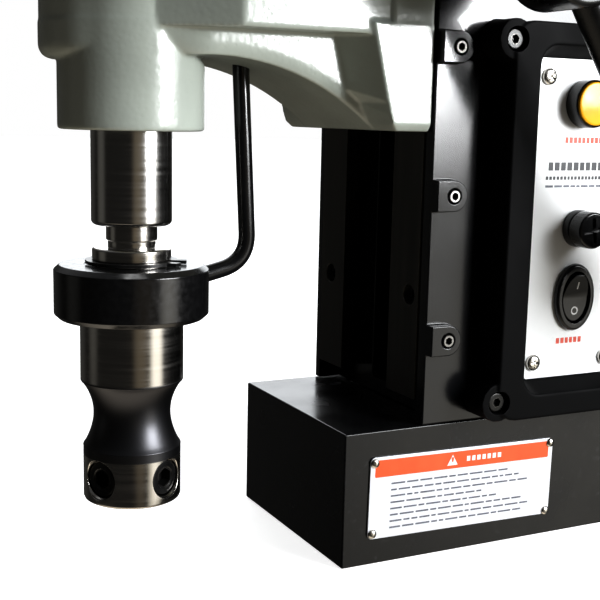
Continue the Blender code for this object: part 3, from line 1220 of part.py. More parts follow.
def build():
    clear_scene()
    black_paint = material("black_paint", (0.018, 0.019, 0.021), 0.38)
    black_block = material("magnet_black", (0.014, 0.015, 0.016), 0.30)
    cast_paint = material("grey_green_paint", (0.62, 0.66, 0.61), 0.35)
    motor_paint = material("motor_paint", (0.55, 0.60, 0.55), 0.38)
    case_black = material("case_black", (0.012, 0.012, 0.013), 0.45)
    gloss_black = material("gloss_black", (0.010, 0.010, 0.011), 0.22)
    panel_white = material("panel_white", (0.86, 0.87, 0.87), 0.30)
    amber = material("amber_lens", (1.0, 0.62, 0.02), 0.12)
    bright = material("bright_steel", (0.62, 0.60, 0.57), 0.18, 1.0)
    steel = material("ground_steel", (0.50, 0.49, 0.47), 0.30, 1.0)
    dark_steel = material("black_oxide", (0.030, 0.029, 0.028), 0.35, 0.8)
    rail_steel = material("rail_black", (0.030, 0.030, 0.028), 0.45, 0.3)
    bronze = material("bronze", (0.55, 0.36, 0.14), 0.35, 1.0)
    copper = material("copper", (0.72, 0.36, 0.20), 0.35, 1.0)
    resin = material("potting_resin", (0.050, 0.045, 0.040), 0.60)
    winding = material("winding", (0.35, 0.33, 0.31), 0.50, 0.6)
    carbon = material("brush_carbon", (0.020, 0.020, 0.020), 0.70)
    board = material("board_green", (0.03, 0.16, 0.06), 0.50)
    rubber = material("rubber", (0.015, 0.015, 0.015), 0.70)

    build_base(black_block, copper, resin, panel_white)
    build_column(black_paint, rail_steel, dark_steel, bright, bronze)
    build_controls(case_black, panel_white, board, gloss_black, amber, rubber, black_paint)
    build_capstan(steel, dark_steel, case_black)
    slide = pivot("head_slide", (SLIDE_CENTRE_X, TONGUE_REAR_Y, CARRIAGE_BOTTOM_Z))
    build_head(slide, cast_paint, steel, steel, motor_paint, case_black, winding, carbon, steel,
               dark_steel, dark_steel)
    build_spindle(slide, bright, steel, bright, dark_steel, dark_steel)
    build_lay_shaft(slide, steel)
    build_rotor(slide, winding, winding, copper, case_black)


build()
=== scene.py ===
"""Visual model of the magnetic drill press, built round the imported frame.

Shapes are drawn in millimetres in the frame's axes: +Z up, -Y towards the spindle and +X towards
the control side. shape() turns them into metres.
"""
import random
from math import asin, atan2, cos, hypot, pi, radians, sin, sqrt, tau

import bmesh
import bpy
from mathutils import Matrix, Vector


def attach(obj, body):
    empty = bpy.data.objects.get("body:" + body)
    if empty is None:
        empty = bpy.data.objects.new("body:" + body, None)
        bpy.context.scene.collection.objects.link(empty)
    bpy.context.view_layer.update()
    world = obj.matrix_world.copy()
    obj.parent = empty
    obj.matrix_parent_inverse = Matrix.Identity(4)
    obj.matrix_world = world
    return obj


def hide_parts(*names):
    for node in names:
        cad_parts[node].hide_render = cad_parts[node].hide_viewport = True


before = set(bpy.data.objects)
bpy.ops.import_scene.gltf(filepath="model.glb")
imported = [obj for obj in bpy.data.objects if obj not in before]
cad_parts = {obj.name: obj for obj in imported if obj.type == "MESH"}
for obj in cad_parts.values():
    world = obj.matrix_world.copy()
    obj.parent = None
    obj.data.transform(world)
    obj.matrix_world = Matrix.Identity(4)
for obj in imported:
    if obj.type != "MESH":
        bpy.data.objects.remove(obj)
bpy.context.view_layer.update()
scene = bpy.context.scene
shift = Matrix.Translation


MM = 0.001
GAP = 0.3
SIDE = 42.0
SPINDLE_Y = -150.4
MOTOR_Y = -117.0
PINION_Y, PINION_Z = -37.0, 210.0
BEVEL_ANGLE = 30.0


# ---- shapes
def block(x, y, z):
    bm = bmesh.new()
    bmesh.ops.create_cube(bm, size=1.0)
    low = Vector((min(x), min(y), min(z)))
    high = Vector((max(x), max(y), max(z)))
    bmesh.ops.scale(bm, vec=high - low, verts=bm.verts)
    bmesh.ops.translate(bm, vec=(low + high) / 2, verts=bm.verts)
    return bm


def prism(outline, low, high, axis="Z"):
    """Extrude a closed outline: pairs are (x, y) for Z, (y, z) for X and (x, z) for Y."""
    placed = {
        "Z": lambda a, b: (a, b, low),
        "X": lambda a, b: (low, a, b),
        "Y": lambda a, b: (a, low, b),
    }[axis]
    bm = bmesh.new()
    face = bm.faces.new([bm.verts.new(placed(a, b)) for a, b in outline])
    step = Vector([high - low if letter == axis else 0.0 for letter in "XYZ"])
    grown = bmesh.ops.extrude_face_region(bm, geom=[face])
    far = [item for item in grown["geom"] if isinstance(item, bmesh.types.BMVert)]
    bmesh.ops.translate(bm, vec=step, verts=far)
    bmesh.ops.recalc_face_normals(bm, faces=bm.faces)
    return bm


def turned(profile, centre=(0.0, 0.0), sides=64, closed=False):
    """Spin (radius, z) points round a vertical axis; a closed profile makes a ring."""
    bm = bmesh.new()
    verts = [bm.verts.new((radius, 0.0, z)) for radius, z in profile]
    edges = [bm.edges.new(pair) for pair in zip(verts, verts[1:])]
    if closed:
        edges.append(bm.edges.new((verts[-1], verts[0])))
    bmesh.ops.spin(bm, geom=verts + edges, cent=(0, 0, 0), axis=(0, 0, 1),
                   angle=tau, steps=sides, use_merge=True)
    bmesh.ops.remove_doubles(bm, verts=bm.verts, dist=1e-4)
    flat_ends = [end[1] for end, near in ((profile[0], profile[1]), (profile[-1], profile[-2]))
                 if not closed and abs(end[1] - near[1]) < 1e-6]
    poles = [vert for vert in bm.verts if hypot(vert.co.x, vert.co.y) < 1e-4
             and any(abs(vert.co.z - z) < 1e-4 for z in flat_ends)]
    bmesh.ops.dissolve_verts(bm, verts=poles)
    bmesh.ops.recalc_face_normals(bm, faces=bm.faces)
    bmesh.ops.translate(bm, vec=(centre[0], centre[1], 0.0), verts=bm.verts)
    return bm


def stack(*steps):
    """A solid profile from (radius, low z, high z) steps, bottom to top."""
    profile = [(0.0, steps[0][1])]
    for radius, low, high in steps:
        profile += [(radius, low), (radius, high)]
    profile.append((0.0, steps[-1][2]))
    return profile


def moved(bm, matrix):
    bmesh.ops.transform(bm, matrix=matrix, verts=bm.verts)
    return bm


def spin(place, angle, axis):
    """A turn about an axis through the origin, followed by a move to a point."""
    return shift(place) @ Matrix.Rotation(angle, 4, axis)


def along_x(bm, y=0.0, z=0.0, x=0.0):
    return moved(bm, spin((x, y, z), pi / 2, "Y"))


def turned_x(profile, y=0.0, z=0.0, x=0.0, **how):
    return along_x(turned(profile, **how), y, z, x)


def turned_y(profile, x=0.0, z=0.0, y=0.0, **how):
    return moved(turned(profile, **how), spin((x, y, z), -pi / 2, "X"))


def arc(centre, start, end, steps, wide, high=None, skip=0):
    """Points along a circle or an ellipse, from one angle in degrees to another."""
    high = wide if high is None else high
    angles = [radians(start + (end - start) * k / steps) for k in range(skip, steps + 1)]
    return [(centre[0] + wide * cos(angle), centre[1] + high * sin(angle)) for angle in angles]


def rounded(low, high, radius, steps=8):
    left, right = low[0] + radius, high[0] - radius
    under, over = low[1] + radius, high[1] - radius
    points = []
    for centre, start in (((right, over), 0), ((left, over), 90),
                          ((left, under), 180), ((right, under), 270)):
        points += arc(centre, start, start + 90, steps, radius)
    return points


def slab(low, high, radius, start, end, axis="X", steps=8):
    """A plate with rounded corners, between two levels of an axis."""
    return prism(rounded(low, high, radius, steps), start, end, axis)


def hexagon(across_flats):
    radius = across_flats / sqrt(3)
    return [(radius * cos(radians(60 * k)), radius * sin(radians(60 * k))) for k in range(6)]


def oval(width, height, steps=48):
    return [(width * cos(tau * k / steps), height * sin(tau * k / steps)) for k in range(steps)]


def bridge(bm, rings):
    """Faces between each ring of vertices and the next."""
    for first, second in zip(rings, rings[1:]):
        for k in range(len(first)):
            following = (k + 1) % len(first)
            bm.faces.new((first[k], first[following], second[following], second[k]))


def loft(*loops):
    """A closed solid through rings that have the same number of points."""
    bm = bmesh.new()
    rings = [[bm.verts.new(point) for point in loop] for loop in loops]
    bridge(bm, rings)
    bm.faces.new(rings[0])
    bm.faces.new(rings[-1])
    bmesh.ops.recalc_face_normals(bm, faces=bm.faces)
    return bm


def oblong_ring(outer, inner, low, high):
    bm = bmesh.new()
    rings = [[bm.verts.new((x, y, z)) for x, y in outline]
             for outline, z in ((outer, low), (outer, high), (inner, high), (inner, low))]
    bridge(bm, rings + rings[:1])
    bmesh.ops.recalc_face_normals(bm, faces=bm.faces)
    return bm


def merged(*parts):
    total = bmesh.new()
    for part in parts:
        scratch = bpy.data.meshes.new("scratch")
        part.to_mesh(scratch)
        part.free()
        total.from_mesh(scratch)
        bpy.data.meshes.remove(scratch)
    return total


def around(count, place, axis, tool, offset=0):
    """The same tool at even steps round an axis, as one mesh."""
    return merged(*[moved(tool(), spin(place, tau * (k + offset) / count, axis))
                    for k in range(count)])


def linked(name, data):
    """A new object in the scene."""
    made = bpy.data.objects.new(name, data)
    scene.collection.objects.link(made)
    return made


def shape(name, bm):
    """A new object from a mesh drawn in millimetres."""
    bmesh.ops.remove_doubles(bm, verts=bm.verts, dist=1e-4)
    bmesh.ops.recalc_face_normals(bm, faces=bm.faces)
    bmesh.ops.scale(bm, vec=(MM, MM, MM), verts=bm.verts)
    mesh = bpy.data.meshes.new(name)
    bm.to_mesh(mesh)
    bm.free()
    return linked(name, mesh)


def evaluated_mesh(obj):
    depsgraph = bpy.context.evaluated_depsgraph_get()
    return bpy.data.meshes.new_from_object(obj.evaluated_get(depsgraph))


def settle(obj):
    """Turn the object's modifiers into plain mesh."""
    mesh = evaluated_mesh(obj)
    old = obj.data
    obj.modifiers.clear()
    obj.data = mesh
    bpy.data.meshes.remove(old)


def boolean(obj, bm, operation):
    tool = shape("tool", bm)
    step = obj.modifiers.new("step", "BOOLEAN")
    step.operation = operation
    step.object = tool
    settle(obj)
    bpy.data.objects.remove(tool)


def cut(obj, *tools):
    for tool in tools:
        boolean(obj, tool, "DIFFERENCE")


def join(obj, *tools):
    for tool in tools:
        boolean(obj, tool, "UNION")


def cast(obj, voxel=0.6, passes=5, ratio=0.3):
    """Give a union of plain solids the soft edges and fillets of a casting."""
    remesh = obj.modifiers.new("skin", "REMESH")
    remesh.mode = "VOXEL"
    remesh.voxel_size = voxel * MM
    smooth = obj.modifiers.new("soften", "SMOOTH")
    smooth.factor = 0.5
    smooth.iterations = passes
    thin = obj.modifiers.new("thin", "DECIMATE")
    thin.ratio = ratio
    settle(obj)


def tidy_mesh(obj):
    """Merge what a boolean left too close together, and the flat faces that it split."""
    bm = bmesh.new()
    bm.from_mesh(obj.data)
    bmesh.ops.remove_doubles(bm, verts=bm.verts, dist=0.02 * MM)
    bmesh.ops.dissolve_limit(bm, angle_limit=radians(0.4), verts=bm.verts, edges=bm.edges)
    bm.to_mesh(obj.data)
    bm.free()


def dress(obj, key, body, node=None, bevel=0.0, steps=2):
    """Bevel and shade a piece, give it its finish and let it ride on its body."""
    if bevel:
        tidy_mesh(obj)
        edge = obj.modifiers.new("edges", "BEVEL")
        edge.width = bevel * MM
        edge.segments = steps
        edge.limit_method = "ANGLE"
        edge.angle_limit = radians(BEVEL_ANGLE)
        edge.use_clamp_overlap = False
        settle(obj)
    obj.data.shade_smooth()
    obj.data.set_sharp_from_angle(angle=radians(50 if bevel else 38))
    normals = obj.modifiers.new("normals", "WEIGHTED_NORMAL")
    normals.weight = 50
    normals.keep_sharp = True
    obj.data.materials.clear()
    obj.data.materials.append(LOOKS[key])
    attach(obj, body)
    if node:
        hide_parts(node)
    return obj


def make(name, bm, key, body, node=None, cuts=(), joins=(), bevel=0.0, steps=2):
    obj = shape(name, bm)
    join(obj, *joins)
    cut(obj, *cuts)
    return dress(obj, key, body, node, bevel, steps)


# ---- materials
def feed(tree, socket, value):
    """Set an input, or link it when the value is another node's output."""
    if isinstance(value, bpy.types.NodeSocket):
        tree.links.new(value, socket)
    else:
        socket.default_value = value


def add(tree, kind, inputs=()):
    node = tree.nodes.new("ShaderNode" + kind)
    for label, value in dict(inputs).items():
        feed(tree, node.inputs[label], value)
    return node


def value_range(tree, source, low, high, new_low=0.0, new_high=1.0):
    node = add(tree, "MapRange", {"Value": source, "From Min": low, "From Max": high,
                                  "To Min": new_low, "To Max": new_high})
    return node.outputs["Result"]


def product(tree, first, second):
    node = add(tree, "Math", {0: first, 1: second})
    node.operation = "MULTIPLY"
    return node.outputs[0]


def dot_product(tree, first, second):
    node = add(tree, "VectorMath", {0: first, 1: second})
    node.operation = "DOT_PRODUCT"
    return node.outputs["Value"]


def colour_mix(tree, factor, first, second):
    node = tree.nodes.new("ShaderNodeMix")
    node.data_type = "RGBA"
    feed(tree, node.inputs["Factor"], factor)
    for label, value in (("A", first), ("B", second)):
        socket = next(s for s in node.inputs if s.name == label and s.type == "RGBA")
        feed(tree, socket, (*value, 1.0) if isinstance(value, tuple) else value)
    return next(s for s in node.outputs if s.type == "RGBA")


def texture(tree, place, scale, detail=3.0, kind="NOISE"):
    if kind == "NOISE":
        node = add(tree, "TexNoise", {"Detail": detail, "Scale": scale, "Vector": place})
        return node.outputs["Fac"]
    node = add(tree, "TexVoronoi", {"Scale": scale, "Vector": place})
    node.feature = "SMOOTH_F1"
    return node.outputs["Distance"]


def look(name, colour, rough, metal=0.0, cloud=45.0, vary=0.15, rough_vary=0.07, grain=2600,
         bump=0.15, depth=0.05, kind="NOISE", stretch=(1, 1, 1), coat=0.0, specular=0.5,
         worn=None, dust=None):
    """A paint, plastic or metal with clouding, grain, uneven gloss and, if asked, worn edges."""
    made = bpy.data.materials.new(name)
    made.use_nodes = True
    tree = made.node_tree
    shader = tree.nodes["Principled BSDF"].inputs
    for label, value in (("Metallic", metal), ("Specular IOR Level", specular),
                         ("Coat Weight", coat), ("Coat Roughness", 0.12)):
        shader[label].default_value = value
    where = add(tree, "TexCoord").outputs["Object"]
    place = add(tree, "Mapping", {"Scale": stretch, "Vector": where}).outputs["Vector"]
    clouds = texture(tree, place, cloud)
    dark = tuple(channel * (1 - vary) for channel in colour)
    light = tuple(channel * (1 + vary) for channel in colour)
    tint = colour_mix(tree, value_range(tree, clouds, 0.3, 0.7), dark, light)
    fine = texture(tree, place, grain, kind=kind)
    gloss = value_range(tree, clouds, 0.3, 0.7, rough - rough_vary, rough + rough_vary)
    if dust:
        specks = value_range(tree, texture(tree, where, 420.0, 6.0), 0.60, 0.72, 0.0, 0.55)
        tint = colour_mix(tree, specks, tint, dust)
    if worn:
        edge = add(tree, "Bevel", {"Radius": WORN_REACH * MM})
        edge.samples = 6
        geometry = add(tree, "NewGeometry")
        dot = dot_product(tree, edge.outputs["Normal"], geometry.outputs["Normal"])
        rim = value_range(tree, dot, 0.985, 0.90)
        patch = value_range(tree, texture(tree, where, 170.0, 5.0), 0.47, 0.60, 0.05, 0.8)
        tint = colour_mix(tree, product(tree, rim, patch), tint, worn)
    feed(tree, shader["Base Color"], tint)
    feed(tree, shader["Roughness"], gloss)
    relief = add(tree, "Bump", {"Strength": bump, "Distance": depth * MM, "Height": fine})
    feed(tree, shader["Normal"], relief.outputs["Normal"])
    return made


WORN_REACH = 0.5
RINGS_Z = (0.03, 0.03, 1.0)
RINGS_X = (1.0, 0.03, 0.03)
TURNED = {"metal": 1.0, "cloud": 900, "grain": 5200, "depth": 0.02}
BLACK_WORN = (0.08, 0.08, 0.09)
LOOKS = {
    "enamel": look("black_enamel", (0.0045, 0.0047, 0.0052), 0.24, bump=0.10, grain=700,
                   specular=0.42, worn=BLACK_WORN, dust=(0.02, 0.02, 0.022)),
    "satin": look("satin_black", (0.0050, 0.0054, 0.0064), 0.19, bump=0.16, grain=1300,
                  specular=0.52, rough_vary=0.03, worn=BLACK_WORN),
    "case": look("case_black", (0.0030, 0.0031, 0.0034), 0.55, bump=0.22, grain=1900,
                 specular=0.06, worn=(0.03, 0.03, 0.033)),
    "gloss": look("gloss_black", (0.006, 0.006, 0.0065), 0.20, bump=0.05, grain=900),
    "phenolic": look("phenolic_black", (0.006, 0.006, 0.006), 0.14, bump=0.03, grain=500, coat=0.4),
    "matt": look("matt_black", (0.010, 0.010, 0.010), 0.62, bump=0.3, grain=1600),
    "head": look("cast_grey_green", (0.350, 0.380, 0.345), 0.25, kind="VORONOI", grain=560,
                 bump=0.62, depth=0.10, vary=0.05, rough_vary=0.02, specular=0.56,
                 worn=(0.22, 0.23, 0.21)),
    "motor": look("motor_grey_green", (0.325, 0.355, 0.320), 0.28, kind="VORONOI", grain=420,
                  bump=0.20, depth=0.10, vary=0.05, rough_vary=0.04, worn=(0.20, 0.21, 0.19)),
    "steel": look("turned_steel", (0.56, 0.55, 0.53), 0.20, stretch=RINGS_Z, vary=0.04,
                  rough_vary=0.04, bump=0.05, **TURNED),
    "steel_x": look("turned_steel_x", (0.22, 0.215, 0.205), 0.36, stretch=RINGS_X, vary=0.10,
                    bump=0.10, **TURNED),
    "gear": look("cut_steel", (0.46, 0.45, 0.43), 0.32, 1.0, cloud=150, vary=0.14, depth=0.02),
    "oxide": look("black_oxide", (0.006, 0.006, 0.0065), 0.20, cloud=500, grain=3500, vary=0.25,
                  bump=0.06, depth=0.02, rough_vary=0.05, specular=0.85, worn=(0.10, 0.10, 0.10)),
    "oxide_plain": look("black_oxide_plain", (0.018, 0.018, 0.018), 0.30, 0.6, cloud=160,
                        grain=2200, vary=0.30, bump=0.10, depth=0.02, worn=(0.14, 0.13, 0.12)),
    "rail": look("oiled_rail", (0.034, 0.032, 0.027), 0.40, 0.35, cloud=300, grain=2400,
                 stretch=(1, 1, 0.04), vary=0.35, bump=0.14, depth=0.02, worn=(0.12, 0.11, 0.09)),
    "bronze": look("bronze", (0.50, 0.33, 0.14), 0.32, 1.0, cloud=700, grain=4200,
                   stretch=RINGS_X, vary=0.12, bump=0.1, depth=0.02),
    "copper": look("copper", (0.62, 0.30, 0.17), 0.36, 1.0, cloud=300, grain=2500),
    "resin": look("potting_resin", (0.040, 0.034, 0.028), 0.48, cloud=90, grain=500, vary=0.3),
    "winding": look("winding", (0.30, 0.20, 0.13), 0.45, 0.5, cloud=300, grain=2200, vary=0.3),
    "carbon": look("carbon", (0.02, 0.02, 0.021), 0.6, cloud=300, grain=2500, vary=0.3),
    "board": look("board_green", (0.02, 0.12, 0.04), 0.4, cloud=200, grain=1500, vary=0.25),
    "panel": look("panel_white", (0.80, 0.81, 0.815), 0.30, cloud=60, vary=0.025, bump=0.06,
                  rough_vary=0.04),
    "label": look("label_aluminium", (0.74, 0.755, 0.80), 0.34, 0.25, cloud=70, vary=0.04,
                  bump=0.08),
    "orange": look("label_orange", (0.78, 0.105, 0.022), 0.38, cloud=150, vary=0.08),
    "white_ink": look("white_ink", (0.80, 0.80, 0.80), 0.45, cloud=200, vary=0.04),
    "grey_ink": look("grey_ink", (0.13, 0.14, 0.17), 0.5, cloud=900, vary=0.35),
    "red_ink": look("red_ink", (0.62, 0.07, 0.035), 0.45, cloud=900, vary=0.2),
    "dark_ink": look("dark_ink", (0.022, 0.024, 0.030), 0.45, cloud=900, vary=0.3),
    "amber": look("amber_lens", (0.90, 0.43, 0.010), 0.24, cloud=130, grain=600, vary=0.12,
                  bump=0.04, coat=0.15, specular=0.35, rough_vary=0.03),
    "nickel": look("nickel", (0.60, 0.58, 0.54), 0.24, 1.0, cloud=400, vary=0.12, bump=0.1,
                   depth=0.02),
}


def arbor_look():
    """Turned steel with a black waist that blends in over a fraction of a millimetre at each end.
    """
    made = look("arbor_steel", (0.55, 0.53, 0.50), 0.20, stretch=RINGS_Z, vary=0.05,
                rough_vary=0.05, bump=0.06, **TURNED)
    tree = made.node_tree
    place = tree.nodes["Texture Coordinate"].outputs["Object"]
    height = add(tree, "SeparateXYZ", {0: place}).outputs["Z"]
    band = product(tree, value_range(tree, height, 0.0392, 0.0396),
                   value_range(tree, height, 0.0668, 0.0662))
    colour, rough = (tree.nodes["Principled BSDF"].inputs[label]
                     for label in ("Base Color", "Roughness"))
    steel = colour.links[0].from_socket
    feed(tree, colour, colour_mix(tree, band, steel, (0.075, 0.075, 0.080)))
    choice = add(tree, "Mix", {"Factor": band, "A": rough.links[0].from_socket, "B": 0.37})
    feed(tree, rough, choice.outputs["Result"])
    return made


LOOKS["arbor"] = arbor_look()


# ---- hardware
def cap_screw(name, place, body, radius, height, hex_size, node=None):
    """A socket cap screw standing on its head's underside, +Z up its axis."""
    head = turned([(0, 0), (radius, 0), (radius, height - 0.5), (radius - 0.15, height - 0.15),
                   (radius - 0.5, height), (0, height)], sides=48)
    socket = prism(hexagon(hex_size), height * 0.4, height + 1)
    make(name, moved(head, place), "oxide_plain", body, node, cuts=[moved(socket, place)])


def pan_screw(name, place, key, body, radius, height):
    """A cross-recessed pan head screw."""
    profile = [(0, 0), (radius, 0)]
    for step in range(7):
        angle = radians(15 + 75 * step / 6)
        profile.append((radius * cos(angle) ** 0.7 if step < 6 else 0.0,
                        height * (0.35 + 0.65 * sin(angle))))
    arm = (-radius * 0.56, radius * 0.56)
    wide = (-radius * 0.13, radius * 0.13)
    deep = (height * 0.45, height + 1)
    make(name, moved(turned(profile, sides=40), place), key, body,
         cuts=[moved(block(arm, wide, deep), place), moved(block(wide, arm, deep), place)])


def facing(direction, at, roll=0.0):
    """Map +Z to a direction, at a point."""
    turn = Vector(direction).to_track_quat("Z", "Y").to_matrix().to_4x4()
    return shift(at) @ turn @ Matrix.Rotation(radians(roll), 4, "Z")


def words(seed, start, end, centre, height, shortest, longest, space):
    """Bars of word length along one row: (start, end, low, high)."""
    draw = random.Random(seed)
    bars = []
    position = start
    while position < end - shortest:
        length = min(draw.uniform(shortest, longest), end - position)
        bars.append((position, position + length, centre - height / 2, centre + height / 2))
        position += length + space
    return bars


def print_marks(name, bars, place, key):
    """Thin printed bars on a plate; pairs run along and up the plate."""
    parts = [moved(block((0.0, 0.04), (a, b), (low, high)), place) for a, b, low, high in bars]
    make(name, merged(*parts), key, "frame")


# ---- magnet base
def build_base():
    outer = rounded((-29, -71), (29, 71), 12)
    inner = rounded((-16, -58), (16, 58), 4)
    make("magnet_block", block((-SIDE, SIDE), (-87, 87), (0, 49.3)), "enamel", "frame",
         "magnet_body", cuts=[oblong_ring(outer, inner, -2, 32)], bevel=0.55, steps=3)
    place = spin((SIDE + 0.15, -36.6, 24.1), radians(-1.0), "X")
    make("label", moved(slab((-40.4, -15.1), (40.4, 15.1), 2.0, 0.0, 0.6), place), "label", "frame",
         "label_plate", bevel=0.12)
    face = place @ shift((0.6, 0, 0))
    stroke = [(-6.0, 10.3), (-5.4, 10.3), (-5.2, 12.0), (-6.2, 12.0)]
    for name, outline, low, high, key in (
            ("header", rounded((-38.4, 7.7), (38.4, 14.0), 0.5, 3), 0.0, 0.05, "orange"),
            ("sign", [(-8.0, 9.0), (-3.4, 9.0), (-5.7, 13.0)], 0.05, 0.10, "white_ink"),
            ("sign_stroke", stroke, 0.1, 0.14, "orange")):
        make(f"label_{name}", moved(prism(outline, low, high, "X"), face), key, "frame")
    print_marks("label_heading", words(4, 0.6, 16.5, 10.9, 1.9, 1.5, 1.6, 0.8),
                face @ shift((0.05, 0, 0)), "white_ink")
    rows = []
    for number, end in enumerate((20, 25, 31, 10, 15, 27, 30, 28)):
        rows += words(20 + number, -31.5, end, 4.9 - 2.35 * number, 0.62, 1.6, 6.2, 0.85)
    print_marks("label_lines", rows, face, "grey_ink")
    dome = [(0, -0.3), (1.7, -0.3), (1.7, 0.15),
            *arc((0, 0.15), 0, 90, 6, 1.7, 0.85, skip=1)[:-1], (0, 1.0)]
    corners = ((-75.0, 37.8), (2.6, 36.7), (-75.4, 11.7), (1.9, 9.7))
    for number, (y, z) in enumerate(corners, 1):
        make(f"label_rivet_{number}", turned_x(dome, y, z, SIDE + 0.75, sides=32), "nickel",
             "frame")


# ---- column
GIB_Y = -48.5
GIB_Z = (182.9, 132.0, 80.7)
FLOOR_Y = -46.1
RAIL_Y = -55.8
RAIL_BOLT_Z = 95.3


def build_column():
    column = shape("column", block((-SIDE, SIDE), (-55.5, 40), (49.6, 228)))
    lugs = []
    for z in GIB_Z:
        outline = [(-55.5, z - 5.5), *arc((GIB_Y, z), -90, 90, 24, 5.5), (-55.5, z + 5.5)]
        lugs.append(prism(outline, SIDE - 2, SIDE + 4, "X"))
    join(column, merged(*lugs))
    pockets = [slab((-34.7, low), (-24, high), 3, 12, 52, steps=5)
               for low, high in ((52.0, 97.1), (99.7, 142.0), (144.4, 193.0))]
    pockets.append(slab((-20.5, 56), (33, 190), 4, 12, 52, steps=5))
    holes = [turned_x(stack((2.7, 33, 52)), GIB_Y, z, sides=40) for z in GIB_Z]
    cut(column, block((-38.4, 37.0), (-66, FLOOR_Y), (40, 240)),
        block((-10.3, 7.7), (-51, -30), (55.6, 240)),
        turned_x(stack((11.5, -8.3, 5.7)), PINION_Y, PINION_Z, sides=48),
        turned_x(stack((8.3, -52, 52)), PINION_Y, PINION_Z, sides=48),
        merged(*pockets), turned_y(stack((6, 31, 50)), 26, 100, sides=32),
        merged(*holes), slab((-30, 62), (30, 190), 6, -52, -39.5))
    dress(column, "satin", "frame", "column_frame", bevel=0.45, steps=3)
    for name, inner, outer, side in (("near", 16.4, 36.2, 1), ("far", -19.0, -38.1, -1)):
        back = FLOOR_Y - GAP
        outline = [(inner, RAIL_Y), (outer, RAIL_Y), (outer, back), (inner + side * 5.5, back)]
        seat = turned_y(stack((3.7, -0.2, 6.0), (2.5, 6.0, 15.0)), side * 30, RAIL_BOLT_Z, RAIL_Y,
                        sides=48)
        make(f"rail_{name}", prism(outline, 57.5, 226), "rail", "frame", f"guide_rail_{name}",
             cuts=[seat], bevel=0.35)
        cap_screw(f"rail_bolt_{name}", facing((0, -1, 0), (side * 30, RAIL_Y + 5.4, RAIL_BOLT_Z)),
                  "frame", 3.3, 3.2, 3.0, f"rail_screw_{name}")
    for number, z in enumerate(GIB_Z, 1):
        body = turned_x([(0, -8.9), (2.3, -8.9), (2.3, 0.0), (2.0, 0.4), (0, 0.4)], GIB_Y, z,
                        SIDE + 4, sides=40)
        make(f"gib_set_screw_{number}", body, "steel_x", "frame", f"gib_screw_{number}",
             cuts=[along_x(prism(hexagon(2.5), -7, 2), GIB_Y, z, SIDE + 4)])


# ---- control box
PANEL_X = 47.0
FACE_X = 47.3
PANEL_Y = 5.5
BUTTON_Z, FUSE_Z, ROCKER_Z = 165, 119.7, 94.0


def build_controls():
    box = shape("case", slab((-31.9, 51.2), (42.9, 192.5), 8, 42.3, 55, steps=10))
    lugs = []
    seats = []
    seat = stack((2.4, 32, 50), (4.1, 50, 53.6), (4.5, 54.4, 65))
    for end, y in (("front", -31.3), ("rear", 42.3)):
        for level, z in (("low", 58.3), ("high", 186.0)):
            lugs.append(turned_x(stack((7.0, 42.5, 54.2)), y, z))
            seats.append(turned_x(seat, y, z, sides=56))
            cap_screw(f"case_screw_{end}_{level}", facing((1, 0, 0), (50.05, y, z), 12), "frame",
                      3.4, 3.0, 3.0)
    inner = rounded((-17.3, 63.7), (28.3, 181.1), 3.8, 6)
    outer = rounded((-21.1, 59.9), (32.1, 184.9), 7.6, 6)
    recess = loft(*[[(x, y, z) for y, z in outline] for outline, x in
                    ((inner, 45.5), (inner, 47.0), (outer, 55), (outer, 65))])
    join(box, merged(*lugs))
    cut(box, recess, slab((-14.3, 66.7), (25.3, 178.1), 3, 30, 46, steps=4))
    cast(box, voxel=0.42, passes=4, ratio=0.22)
    cut(box, merged(*seats))
    dress(box, "case", "frame", "control_box")

    openings = [turned_x(stack((6.8, 40, 55)), PANEL_Y, BUTTON_Z, sides=40),
                turned_x(stack((5.2, 40, 55)), PANEL_Y, FUSE_Z, sides=40),
                slab((-1.8, 83.1), (12.8, 104.9), 6.3, 40, 55, steps=6)]
    make("panel", slab((-17.0, 64.0), (28.0, 180.8), 3.5, 45.8, PANEL_X), "panel", "frame",
         "control_panel", cuts=[merged(*openings)], bevel=0.12)
    corners = ((-11.2, 174.2), (-11.5, 70.2), (22.3, 174.2), (22.3, 70.2))
    for number, (y, z) in enumerate(corners, 1):
        pan_screw(f"panel_screw_{number}", facing((1, 0, 0), (PANEL_X, y, z), 20 + 37 * number),
                  "nickel", "frame", 3.0, 1.7)
    lines = words(3, -14.6, 14.0, 142.4, 3.0, 2.0, 2.4, 0.7)
    lines += words(5, -15.6, 15.0, 138.2, 1.25, 1.0, 1.2, 0.5)
    for name, bars, key in (
            ("caption_top", words(1, -7.6, 9.5, 151.9, 2.1, 1.3, 1.5, 0.55), "red_ink"),
            ("caption_low", words(2, -6.5, 6.4, 77.6, 2.1, 1.3, 1.5, 0.65), "red_ink"),
            ("lines", lines, "dark_ink"),
            ("small_line", words(6, -15.6, 15.0, 135.2, 0.8, 1.5, 4.0, 0.6), "grey_ink")):
        print_marks(f"panel_{name}", bars, shift((PANEL_X, PANEL_Y, 0)), key)
    build_button()
    build_fuse()
    build_rocker("motor", shift((PANEL_X, PANEL_Y, ROCKER_Z)))


